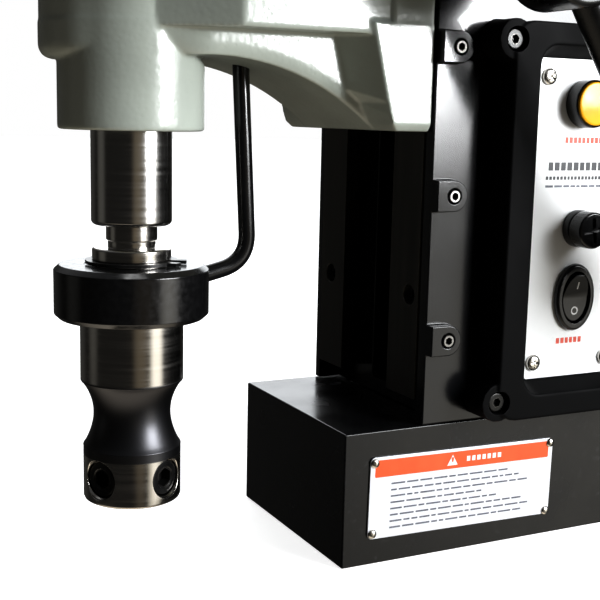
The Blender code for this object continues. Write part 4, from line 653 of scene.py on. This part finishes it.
def build_button():
    face = FACE_X
    profile = [(3.0, 24), (6.4, 24), (6.4, face), (8.6, face), (8.6, face + 5.2),
               (8.45, face + 5.75), (8.2, face + 6.0), (8.05, face + 5.8), (8.0, face + 1),
               (3.0, face + 1)]
    make("button_bezel", turned_x(profile, PANEL_Y, BUTTON_Z, closed=True), "gloss", "frame",
         "button_housing")
    profile = [(0, 30), (2.6, 30), (2.6, face + 3.4), (7.7, face + 3.4), (7.7, face + 6.2)]
    profile += arc((7.7 - 1.1, face + 6.2), 0, 90, 8, 1.1, 0.5, skip=1)[:-1]
    profile += [(5.6, face + 6.85), (3.0, face + 7.1), (0, face + 7.2)]
    make("button_lens", turned_x(profile, PANEL_Y, BUTTON_Z), "amber", "reverse_button",
         "reverse_button")


def build_fuse():
    face = FACE_X
    profile = [(3.6, 20), (4.8, 20), (4.8, face), (6.9, face), (6.9, face + 2.2),
               (6.4, face + 3.0), (3.6, face + 3.0)]
    make("fuse_base", turned_x(profile, PANEL_Y, FUSE_Z, sides=48, closed=True), "gloss",
         "frame", "fuse_holder")
    low, high = face + 3.3, face + 9.7
    profile = [(0, 24), (3, 24), (3, low), (6.5, low), (6.7, low + 0.4), (6.7, high - 0.9),
               (6.4, high - 0.3), (5.8, high), (0, high)]
    axis = (0, PANEL_Y, FUSE_Z)
    knob = shape("fuse_knob", turned_x(profile, PANEL_Y, FUSE_Z, sides=48))
    for turn in (8, 98):
        cut(knob, moved(block((high - 1.4, high + 2), (-4.6, 4.6), (-0.75, 0.75)),
                        spin(axis, radians(turn), "X")))
    cut(knob, around(24, axis, "X", lambda: block((low + 1.2, high - 1.6), (6.62, 7.2),
                                                  (-0.22, 0.22))))
    dress(knob, "gloss", "fuse_cap", "fuse_cap")


ROCKER_REACH = 9.2
ROCKER_AXIS = 0.5
ROCKER_WAIST = 1.1
ROCKER_TOP, ROCKER_FOOT = 67.5, 276.7


def build_rocker(name, place):
    rocker = f"{name}_rocker"
    rim = loft(*[[(x, y, z) for y, z in oval(9 - inset, 12.6 - inset)]
                 for x, inset in ((0.3, 0.0), (1.2, 0.0), (1.9, 0.25), (2.35, 0.8), (2.45, 1.5))])
    core = slab((-7.0, -10.6), (7.0, 10.6), 6.0, -20, 0.6, steps=6)
    well = prism(oval(6.6, 9.8), -9.5, 10, "X")
    rim, core, well = (moved(part, place) for part in (rim, core, well))
    make(f"{rocker}_rim", rim, "gloss", "frame", f"{name}_switch_body", cuts=[well], joins=[core],
         bevel=0.2)
    side = [(ROCKER_AXIS + ROCKER_WAIST, 0.0),
            *arc((ROCKER_AXIS, 0), ROCKER_TOP, 100.0, 12, ROCKER_REACH), (-2.5, 4.0), (-2.5, -4.0),
            *arc((ROCKER_AXIS, 0), 260.0, ROCKER_FOOT, 12, ROCKER_REACH)]
    paddle = shape(f"{name}_paddle", moved(prism(side, -5.9, 5.9, "Y"), place))
    boolean(paddle, moved(prism(oval(5.8, 9.0), -20, 20, "X"), place), "INTERSECT")
    dress(paddle, "gloss", rocker, rocker, bevel=0.3, steps=3)
    top, foot = radians(ROCKER_TOP), radians(ROCKER_FOOT)
    rise = atan2(ROCKER_REACH * cos(top) - ROCKER_WAIST, ROCKER_REACH * sin(top))
    dip = atan2(ROCKER_REACH * cos(foot) - ROCKER_WAIST, -ROCKER_REACH * sin(foot))
    stroke = block((0, 0.05), (-0.3, 0.3), (3.4, 6.2))
    circle = turned_x([(1.05, 0), (1.6, 0), (1.6, 0.05), (1.05, 0.05)], 0, -5.0, sides=32,
                      closed=True)
    for mark, bm, tilt in (("on", stroke, rise), ("off", circle, -dip)):
        half = place @ shift((1.62, 0, 0)) @ Matrix.Rotation(tilt, 4, "Y")
        make(f"{name}_{mark}_mark", moved(bm, half), "white_ink", rocker)


# ---- rear cover
REAR_Y = 62.0
DIAL_Z, GLAND_Z = 110, 80


def build_rear():
    low, high = 40.3, REAR_Y
    cover = shape("rear_case", slab((-40, 56), (40, 212), 6, low, high, "Y", 10))
    holes = [turned_y(stack((3.6, high - 10, high + 10)), 0, DIAL_Z, sides=32),
             turned_y(stack((6.4, high - 10, high + 10)), 0, GLAND_Z, sides=32),
             slab((-7.3, 139.1), (7.3, 160.9), 6.3, high - 10, high + 10, "Y", 6)]
    vents = [block((-22, 22), (high - 1.2, high + 2), (174 + 6 * k, 176.4 + 6 * k))
             for k in range(4)]
    cut(cover, slab((-37, 59), (37, 209), 4, low - 10, high - 3, "Y", 6), merged(*holes),
        merged(*vents))
    dress(cover, "case", "frame", "rear_cover", bevel=0.9, steps=3)
    for number, (x, z) in enumerate(((-33, 63), (33, 63), (-33, 205), (33, 205)), 1):
        pan_screw(f"rear_screw_{number}", facing((0, 1, 0), (x, high, z), 31 * number),
                  "oxide_plain", "frame", 2.9, 1.6)
    build_rocker("magnet", spin((0, high, 150), pi / 2, "Z"))
    profile = [(0, high - 10), (3, high - 10), (3, high + GAP), (11, high + GAP),
               (11.0, high + 2.4), (10.2, high + 11.6), (9.6, high + 12.6), (8.8, high + 13),
               (0, high + 13)]
    dial = shape("dial", turned_y(profile, 0, DIAL_Z, sides=72))
    flute = stack((1.0, high + 3.2, high + 20))
    cut(dial, block((-0.6, 0.6), (high + 12.2, high + 20), (113, 130)),
        around(18, (0, 0, DIAL_Z), "Y", lambda: turned_y(flute, 11.0, sides=16), 0.5))
    dress(dial, "gloss", "speed_dial", "speed_dial")
    ticks = []
    for number in range(11):
        tick = block((-0.3, 0.3), (0, 0.05), (12.6, 15.0 if number % 5 == 0 else 14.0))
        ticks.append(moved(tick, spin((0, high, DIAL_Z), radians(-135 + 27 * number), "Y")))
    make("dial_ticks", merged(*ticks), "white_ink", "frame")
    profile = [(3, high - 8), (6, high - 8), (6, high + GAP), (9, high + GAP), (9, high + 5.6),
               (8.5, high + 6.2), (7, high + 12), (6.2, high + 15.6), (5.8, high + 16),
               (3, high + 16)]
    gland = shape("gland", turned_y(profile, 0, GLAND_Z, closed=True))
    cut(gland, around(6, (0, 0, GLAND_Z), "Y",
                      lambda: block((8.1, 12), (high + 0.5, high + 5.2), (-6, 6))))
    dress(gland, "matt", "frame", "cable_gland")


# ---- carry handle
def tube_path(name, points, radius, key, body, node):
    """A round bar along a path, with flat ends."""
    path = bpy.data.curves.new(name, "CURVE")
    path.dimensions = "3D"
    path.bevel_depth = radius * MM
    path.bevel_resolution = 8
    path.use_fill_caps = True
    spline = path.splines.new("POLY")
    spline.points.add(len(points) - 1)
    for point, place in zip(spline.points, points):
        point.co = (*(Vector(place) * MM), 1.0)
    bar = linked(name, path)
    mesh = evaluated_mesh(bar)
    bpy.data.objects.remove(bar)
    dress(linked(name, mesh), key, body, node)


def build_handle():
    x, foot, top, bend, front, rear = 12, 228.3, 264.3, 12.0, -18.0, 32.0
    points = [(x, front, foot), (x, front, foot + 10)]
    for centre_y, start in ((front + bend, 180), (rear - bend, 90)):
        points += [(x, y, z) for y, z in arc((centre_y, top - bend), start, start - 90, 16, bend)]
    points += [(x, rear, foot + 10), (x, rear, foot)]
    tube_path("handle", points, 6.0, "satin", "frame", "carry_handle")
    collar = [(6.02, 228.0), (8.2, 228.0), (9.0, 228.8), (9.0, 231.2), (8.2, 232.0), (6.02, 232.0)]
    for side, y in (("front", front), ("rear", rear)):
        make(f"handle_collar_{side}", turned(collar, (x, y), closed=True), "oxide_plain", "frame")


# ---- capstan
def build_capstan():
    axis = (PINION_Y, PINION_Z)
    profile = [(0, 82.3), (6.3, 82.3), (6.3, 62), (11.5, 62), (11.5, 72), (15.6, 72.3),
               (17, 73.7), (17, 94), (16.4, 95.2), (15, 96), (4.2, 96), (3.8, 95.6), (0, 95.6)]
    hub = shape("hub", turned_x(profile, *axis, sides=72))
    frames = [spin((85, *axis), radians(degrees) - pi / 2, "X") for degrees in (-57, 63, 183)]
    sockets = [moved(turned(stack((5.8, 11, 27)), sides=32), place) for place in frames]
    cut(hub, merged(*sockets))
    dress(hub, "oxide_plain", "capstan", "capstan_hub", bevel=0.25)
    profile = [(0, 95.7), (3.6, 95.7), (3.6, 96.2), (3.2, 96.7), (0, 96.7)]
    make("hub_bolt", turned_x(profile, *axis, sides=32), "steel_x", "capstan",
         cuts=[along_x(prism(hexagon(3.4), 96.0, 99), *axis)])
    rod = [(0, 11.5), (5.5, 11.5), (5.5, 99.4), (4.9, 100), (3.5, 100), (3.5, 112), (0, 112)]
    grip = [(0, 112.8), (3.8, 112.8), (3.8, 100.3), (6.4, 100.3), (7.0, 100.5)]
    grip += [(radius, z) for z, radius in arc((110.3, 7.0), 180, 90, 12, 10, 5.5, skip=1)]
    grip += arc((0, 121.8), 0, 90, 12, 12.5)[:-1] + [(0, 121.8 + 12.5)]
    for number, place in enumerate(frames, 1):
        make(f"spoke_{number}", moved(turned(rod, sides=48), place), "oxide_plain", "capstan",
             f"capstan_spoke_{number}")
        make(f"grip_{number}", moved(turned(grip, sides=56), place), "phenolic", "capstan",
             f"spoke_grip_{number}")


# ---- drill head
TUBE_TOP = Vector((0, -110.3, 178))
TUBE_CORNER = Vector((0, -106.4, 105.9))
TUBE_INLET = Vector((0, -123.64, 101.6))
TUBE_DOWN = (TUBE_CORNER - TUBE_TOP).normalized()
TUBE_INWARDS = (TUBE_INLET - TUBE_CORNER).normalized()
TUBE_BEND = 10.5
BOSS_RADIUS = 24.76


def nose_outline(inset, start):
    """The gear case's nose from above: it sits towards the far side, flush with the boss near."""
    blend = -44
    return (arc((-5.7, SPINDLE_Y - 1.6), start, 360 + blend, 48, 27.8 - inset)
            + arc((0, SPINDLE_Y), blend, 0, 16, BOSS_RADIUS - inset, skip=1))


def case_outline(inset):
    wide = 41.0 - inset
    rear = -73.6 - inset
    return nose_outline(inset, 180) + [(wide, MOTOR_Y - 10), (wide, rear), (-wide, rear),
                                       (-wide, SPINDLE_Y + 6.5)]


def arm_body(steps=48):
    """The arm: its rounded sides end in a crisp edge that fades out towards the boss."""
    start, end = radians(94), asin((154 - 88) / 89.5)
    arch = [(-131 + 89.5 * cos(start + (end - start) * step / steps),
             88 + 89.5 * sin(start + (end - start) * step / steps)) for step in range(steps + 1)]
    arch = [(SPINDLE_Y + 2 * k, arch[0][1]) for k in range(7)] + arch + [(-63, 154)]
    rings = []
    for y, low in arch:
        share = min(1.0, (y - SPINDLE_Y) / 19)
        share = share * share * (3 - 2 * share)
        wide = 24.56 + 2.94 * share
        height = 10.0 - 5.0 * share
        deepest = asin(height / 10.0)
        half = []
        for step in range(11):
            angle = deepest * (step / 10 - 1)
            half.append((wide - 10 + 10 * cos(angle), low + height + 10 * sin(angle)))
        half.append((wide, 190))
        rings.append([(x, y, z) for x, z in half + [(-x, z) for x, z in reversed(half)]])
    return loft(*rings)


def spindle_boss():
    """Straight walls, with a rounded shoulder only under the arm."""
    levels = [(152.5, 0.6, 0.0), (153.1, 0.0, 0.0), (173.5, 0.0, 0.0)]
    for step in range(1, 7):
        angle = radians(12 * step)
        levels.append((173.5 + 4.2 * sin(angle), 0.0, 5.0 * (1 - cos(angle))))
    levels.append((187, 0.0, levels[-1][2]))
    rings = []
    for z, inset, pull in levels:
        points = []
        for step in range(96):
            angle = tau * step / 96
            shoulder = max(0.0, min(1.0, (sin(angle) - 0.60) / 0.30))
            radius = BOSS_RADIUS - inset - pull * shoulder
            points.append((radius * cos(angle), SPINDLE_Y + radius * sin(angle), z))
        rings.append(points)
    return loft(*rings)


def carriage_foot():
    """The casting's foot against the rails, with its sloping underside."""
    rings = []
    for z, front, middle in ((154.0, -70.0, -70.2), (156.2, -72.0, -72.4), (159.0, -73.0, -74.4),
                             (163.5, -74.1, -77.2), (168.0, -75.2, -83.3), (190.0, -80.6, -88.7)):
        side = SIDE - (1.8 if z == 154.0 else 0.0)
        rings.append([(x, y, z) for x, y in
                      ((-side, -56.6), (-side, front), (-26.8, middle), (26.8, middle),
                       (side, front), (side, -56.6))])
    return loft(*rings)


def case_skirt():
    """The gear case's rounded underside beyond the arm."""
    levels = []
    for inset, z in ((4.5, 175.7), (2.8, 176.0), (1.3, 177.0), (0.3, 178.6), (0, 180.2), (0, 188)):
        outline = nose_outline(inset, 145) + [(12, SPINDLE_Y + 12), (-12, SPINDLE_Y + 9)]
        levels.append([(x, y, z) for x, y in outline])
    return loft(*levels)


def build_casting():
    casting = shape("head", carriage_foot())
    tongue = [(-18.6, -59.6), (16.0, -59.6), (16.0, RAIL_Y), (21.7, -46.7), (-24.3, -46.7),
              (-18.6, RAIL_Y)]
    join(casting, block((-41.9, 41.9), (-73, -56.7), (170, 312)), prism(tongue, 155.2, 310.8),
         arm_body(), case_skirt(), spindle_boss(), prism(case_outline(0.3), 186, 206))
    rib = [(-87, 206), (-73.1, 206), (-73.1, 232), (-75, 232)]
    for x in (-30, 30):
        join(casting, prism(rib, x - 2.5, x + 2.5, "X"))
    cast(casting)
    chamber = arc((0, SPINDLE_Y), 180, 360, 24, 22)
    chamber += [(22, MOTOR_Y + 12), (-38, MOTOR_Y + 12), (-38, SPINDLE_Y + 7.9),
                (-31, SPINDLE_Y + 2.4)]
    bore = stack((14.33, 142, 156.9), (21.3, 156.9, 169.3), (13.1, 169.3, 193.5))
    socket = turned(stack((3.3, -0.5, 24)), sides=32)
    cut(casting, prism(chamber, 188.5, 216), turned(bore, (0, SPINDLE_Y)),
        block((-7.6, 5.0), (-51.8, -36), (159.7, 309.3)),
        moved(socket, facing(TUBE_DOWN, TUBE_TOP)))
    dress(casting, "head", "drill_head", "head_casting")


def build_motor():
    housing = shape("motor_body", turned(
        [(37.5, 216.8), (39.6, 216.8), (40.2, 217.4), (41, 219.5), (41, 297), (40.4, 299.4),
         (39.8, 300), (37.5, 300)], (0, MOTOR_Y), 128, closed=True))
    vents = [moved(slab((-4.0, 221.5), (4.0, 232.0), 2.5, 30, 50, steps=6),
                   spin((0, MOTOR_Y, 0), radians(22.5 + 45 * number), "Z"))
             for number in range(8)]
    for side in (-1, 1):
        vents.append(turned_x(stack((6.2, side * 41 - 9, side * 41 + 9)), MOTOR_Y, 290, sides=40))
    cut(housing, merged(*vents))
    dress(housing, "motor", "drill_head", "motor_housing", bevel=0.4)
    for number, side in enumerate((-1, 1), 1):
        profile = [(0, 0), (5.9, 0), (5.9, 1.6), (5.4, 2.1), (0, 2.1)]
        place = facing((side, 0, 0), (side * 40.6, MOTOR_Y, 290))
        slot = block((side * 41.9, side * 44), (MOTOR_Y - 4.2, MOTOR_Y + 4.2), (289.4, 290.6))
        make(f"brush_cap_{number}", moved(turned(profile, sides=40), place), "gloss",
             "drill_head", cuts=[slot])
    top = [(0, 332), (26, 332), (31, 331.2), (35, 329), (38.2, 325.6), (40, 322), (41, 317),
           (41, 301.2), (40.5, 300.5), (40, 300.3), (38, 300.3), (38, 317), (33, 326), (11, 328),
           (11, 316), (6.4, 316), (6.4, 326), (0, 326)]
    slots = around(24, (0, MOTOR_Y, 0), "Z",
                   lambda: slab((-1.3, 303.5), (1.3, 315), 1.2, 39.9, 45, steps=4))
    make("end_cap", turned(top, (0, MOTOR_Y), 96), "case", "drill_head", "motor_end_cap",
         cuts=[slots], bevel=0.3)
    for number in range(4):
        angle = radians(45 + 90 * number)
        place = shift((30.0 * cos(angle), MOTOR_Y + 30.0 * sin(angle), 330.6))
        pan_screw(f"cap_screw_{number + 1}", place, "nickel", "drill_head", 2.6, 1.3)


def build_head():
    build_casting()
    seats = [turned(stack((12.3, 196, 214.5)), (0, SPINDLE_Y), 48),
             turned(stack((7, 196, 226)), (0, MOTOR_Y), 48)]
    make("case_cover", prism(case_outline(0.0), 206.3, 216.5), "motor", "drill_head",
         "gear_case_cover", cuts=[merged(*seats)], bevel=1.2, steps=4)
    spots = [(-4, SPINDLE_Y - 24.5), (19.5, SPINDLE_Y - 4), (-29, SPINDLE_Y - 3), (36.5, -121),
             (-36.5, -121), (36.8, -78.5), (-36.8, -78.5)]
    for number, (x, y) in enumerate(spots, 1):
        cap_screw(f"cover_screw_{number}", shift((x, y, 216.4)), "drill_head",
                  3.4, 3.4, 3.2)
    build_motor()
    build_coolant()


def build_coolant():
    profile = [(13.9, 88.0), (24.9, 88.0), (26.76, 89.7), (26.76, 104.9), (24.8, 106.7),
               (16.4, 106.7), (16.4, 106.3), (13.9, 106.3)]
    port = turned(stack((3.3, 0, 20)), sides=32)
    make("coolant_collar", turned(profile, (0, SPINDLE_Y), 128, closed=True), "oxide",
         "drill_head", "coolant_ring", bevel=0.22, steps=3,
         cuts=[moved(port, facing(-TUBE_INWARDS, TUBE_INLET + TUBE_INWARDS * 5))])
    above = TUBE_CORNER - TUBE_DOWN * TUBE_BEND
    beyond = TUBE_CORNER + TUBE_INWARDS * TUBE_BEND
    points = [TUBE_TOP, TUBE_CORNER - TUBE_DOWN * (TUBE_BEND + 20), above]
    for step in range(1, 16):
        share = step / 16
        points.append(above * (1 - share) ** 2 + TUBE_CORNER * (2 * share * (1 - share))
                      + beyond * share ** 2)
    points += [beyond, TUBE_INLET + TUBE_INWARDS * 4.5]
    tube_path("coolant_bar", points, 3.0, "gloss", "drill_head", "coolant_tube")


# ---- spindle
def build_spindle():
    nose = [(0, 186), (7.459, 186), (9.1, 121.2), (9.6, 120.4), (12.6, 120.4), (13.3, 120.8),
            (13.83, 121.6), (13.83, 156.2), (12.5, 156.2), (12.5, 189.2), (8, 189.2), (8, 198.2),
            (6, 198.2), (6, 213.6), (0, 213.6)]
    make("quill", turned(nose, (0, SPINDLE_Y), 128), "steel", "spindle", "spindle", bevel=0.2)
    profile = [(0, 64), (9.5, 64), (9.5, 23.9), (10.1, 23.1), (16.0, 23.1), (16.8, 23.5),
               (17.13, 24.3), (17.13, 42.0)]
    for step in range(25):
        share = step / 24
        dip = sin(pi * share) ** 0.8
        rim = 17.2 + 0.73 * share
        profile.append((rim - (rim - 13.5) * dip, 42.5 + 23.4 * share))
    profile += [(17.93, 66.4), (17.93, 87.0), (17.4, 87.7), (13.6, 87.7), (13.6, 106.9),
                (12.6, 106.9), (12.6, 108.3), (13.6, 108.3), (13.6, 111.9), (13.0, 112.5),
                (8.2, 112.5), (8.2, 114.8), (8.8, 115.2), (8.8, 120.4), (7.21, 184), (0, 184)]
    places = [spin((0, SPINDLE_Y, 32.5), radians(degrees), "Z") @ Matrix.Rotation(pi / 2, 4, "Y")
              for degrees in (-61, 29)]
    hole = [(0, 6), (6.5, 6), (6.5, 15.6), (7.0, 16.4), (7.4, 30), (0, 30)]
    make("cutter_arbor", turned(profile, (0, SPINDLE_Y), 128), "arbor", "spindle", "arbor",
         cuts=[moved(turned(hole, sides=56), place) for place in places], bevel=0.15)
    body = [(0, 10), (6.2, 10), (6.2, 14.6), (5.9, 15.2), (5.4, 15.4), (3.9, 15.4), (3.55, 15.1),
            (0, 15.1)]
    for number, place in enumerate(places, 1):
        make(f"tool_screw_{number}", moved(turned(body, sides=56), place), "oxide_plain",
             "spindle", f"arbor_screw_{number}", cuts=[moved(prism(hexagon(6.0), 11.2, 20), place)])
    inner, outer, ear = 12.9, 16.0, 19.0
    gap, centre = radians(9), radians(52)
    sweep = tau - 2 * gap
    steps = 72
    rims = [ear if step <= 2 or step >= steps - 2 else outer for step in range(steps + 1)]
    points = []
    for step, radius in [*enumerate(rims), *((step, inner) for step in range(steps, -1, -1))]:
        angle = centre + gap + sweep * step / steps
        points.append((radius * cos(angle), SPINDLE_Y + radius * sin(angle)))
    make("snap_ring", prism(points, 107.0, 108.2), "oxide_plain", "spindle", "circlip", bevel=0.1)


# ---- solids kept as they are
INNER = {
    "copper": ("magnet_coil", "commutator"),
    "resin": ("coil_potting",),
    "bronze": ("shaft_bush_near", "shaft_bush_far"),
    "board": ("control_board",),
    "gear": ("feed_rack", "spindle_bearing_lower", "spindle_bearing_upper", "spindle_gear",
             "lay_shaft", "pinion_shaft"),
    "winding": ("stator", "rotor"),
    "carbon": ("brush_1", "brush_2"),
    "matt": ("motor_fan",),
}


def dress_inner():
    """Give the solids that stay as they are their finishes."""
    for key, nodes in INNER.items():
        for node in nodes:
            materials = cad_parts[node].data.materials
            materials.clear()
            materials.append(LOOKS[key])


# ---- stage
LENS = 67.48
CAMERA_PLACE = (0.37226, -0.27209, 0.15900)
YAW, PITCH, ROLL = (radians(degrees) for degrees in (26.72, 9.37, -1.27))
DAYLIGHT = (0.97, 0.985, 1.0)


def make_camera():
    data = bpy.data.cameras.new("camera")
    data.lens = LENS
    data.sensor_width = 36.0
    data.clip_start = 0.01
    camera = linked("camera", data)
    ahead = Vector((sin(YAW) * cos(PITCH), cos(YAW) * cos(PITCH), -sin(PITCH)))
    right = Vector((cos(YAW), -sin(YAW), 0))
    up = right.cross(ahead)
    side = right * cos(ROLL) - up * sin(ROLL)
    top = up * cos(ROLL) + right * sin(ROLL)
    turn = Matrix.Rotation(pi / 2, 3, "Z")
    axes = Matrix([turn @ side, turn @ top, turn @ -ahead]).transposed()
    camera.matrix_world = shift(CAMERA_PLACE) @ axes.to_4x4()
    scene.camera = camera


def new_light(name, kind, power, colour=(1.0, 1.0, 1.0)):
    data = bpy.data.lights.new(name, kind)
    data.energy = power
    data.color = colour
    return data, linked(name, data)


def area_light(name, at, target, size, *strength):
    data, light = new_light(name, "AREA", *strength)
    data.shape = "RECTANGLE"
    data.size, data.size_y = size
    light.location = at
    light.rotation_mode = "QUATERNION"
    light.rotation_quaternion = (Vector(target) - Vector(at)).to_track_quat("-Z", "Y")


def beam_light(name, at, target, width, *strength):
    """A narrow soft-edged beam."""
    data, light = new_light(name, "SPOT", *strength)
    data.spot_size = radians(width)
    data.spot_blend = 1.0
    data.shadow_soft_size = 0.05
    turn = (Vector(target) - Vector(at)).to_track_quat("-Z", "Y")
    light.matrix_world = shift(at) @ turn.to_matrix().to_4x4()


def lobe(tree, where, azimuth, elevation, inner, outer, colour):
    """Light from one part of the surroundings: full inside one angle, gone outside another."""
    turn, lift = radians(azimuth), radians(elevation)
    centre = (cos(turn) * cos(lift), sin(turn) * cos(lift), sin(lift))
    share = add(tree, "MapRange", {"Value": dot_product(tree, where, centre),
                                   "From Min": cos(radians(outer)),
                                   "From Max": cos(radians(inner))})
    share.interpolation_type = "SMOOTHSTEP"
    return colour_mix(tree, share.outputs["Result"], (0, 0, 0), colour)


SURROUNDINGS = (
    (153, 24, 16, 30, (2.50, 2.58, 2.65)),
    (39, -7, 9, 19, (1.05, 1.03, 0.96)),
    (37, -21, 9, 20, (0.90, 0.85, 0.74)),
    (-60, -84, 12, 55, (1.50, 1.34, 1.10)),
    (-113, -4, 3, 18, (0.130, 0.128, 0.118)),
    (-170, -4, 8, 34, (0.050, 0.050, 0.048)),
    (2, -6, 3, 22, (0.200, 0.165, 0.115)),
    (90, 80, 20, 80, (0.10, 0.105, 0.11)),
    (165, 50, 15, 42, (0.80, 0.80, 0.82)),
)
AMBIENT = (0.026, 0.025, 0.023)


def make_world():
    world = bpy.data.worlds.new("studio")
    world.use_nodes = True
    scene.world = world
    tree = world.node_tree
    where = add(tree, "TexCoord").outputs["Generated"]
    total = lobe(tree, where, *SURROUNDINGS[0])
    for row in SURROUNDINGS[1:]:
        total = add(tree, "VectorMath", {0: total, 1: lobe(tree, where, *row)}).outputs["Vector"]
    total = add(tree, "VectorMath", {0: total, 1: AMBIENT}).outputs["Vector"]
    seen = add(tree, "LightPath").outputs["Is Camera Ray"]
    feed(tree, tree.nodes["Background"].inputs["Color"],
         colour_mix(tree, seen, total, (1.0, 1.0, 1.0)))


def make_stage():
    bm = bmesh.new()
    bmesh.ops.create_grid(bm, x_segments=8, y_segments=8, size=6000.0)
    floor = shape("floor", bm)
    floor.location = (0, 0, -0.0002)
    paper = look("pale_floor", (0.88, 0.88, 0.88), 0.80, cloud=2, grain=30, vary=0.01, bump=0.02,
                 specular=0.1)
    glow = paper.node_tree.nodes["Principled BSDF"].inputs
    glow["Emission Color"].default_value = (1.0, 1.0, 1.0, 1.0)
    glow["Emission Strength"].default_value = 0.80
    floor.data.materials.append(paper)
    floor.visible_diffuse = False
    floor.visible_glossy = False
    make_world()
    area_light("window", (1.12, 0.76, 0.50), (0.0, -0.10, 0.14), (0.72, 0.78), 38.0, DAYLIGHT)
    beam_light("beam", (1.04, 0.534, 0.285), (0.0275, -0.110, 0.178), 6.6, 44.0, DAYLIGHT)
    area_light("top", (0.0, -0.1, 1.8), (0.0, -0.1, 0.0), (0.5, 0.5), 4.0)
    scene.view_settings.view_transform = "Standard"
    scene.view_settings.gamma = 0.82


make_camera()
make_stage()
build_base()
build_column()
build_controls()
build_rear()
build_handle()
build_capstan()
build_head()
build_spindle()
dress_inner()
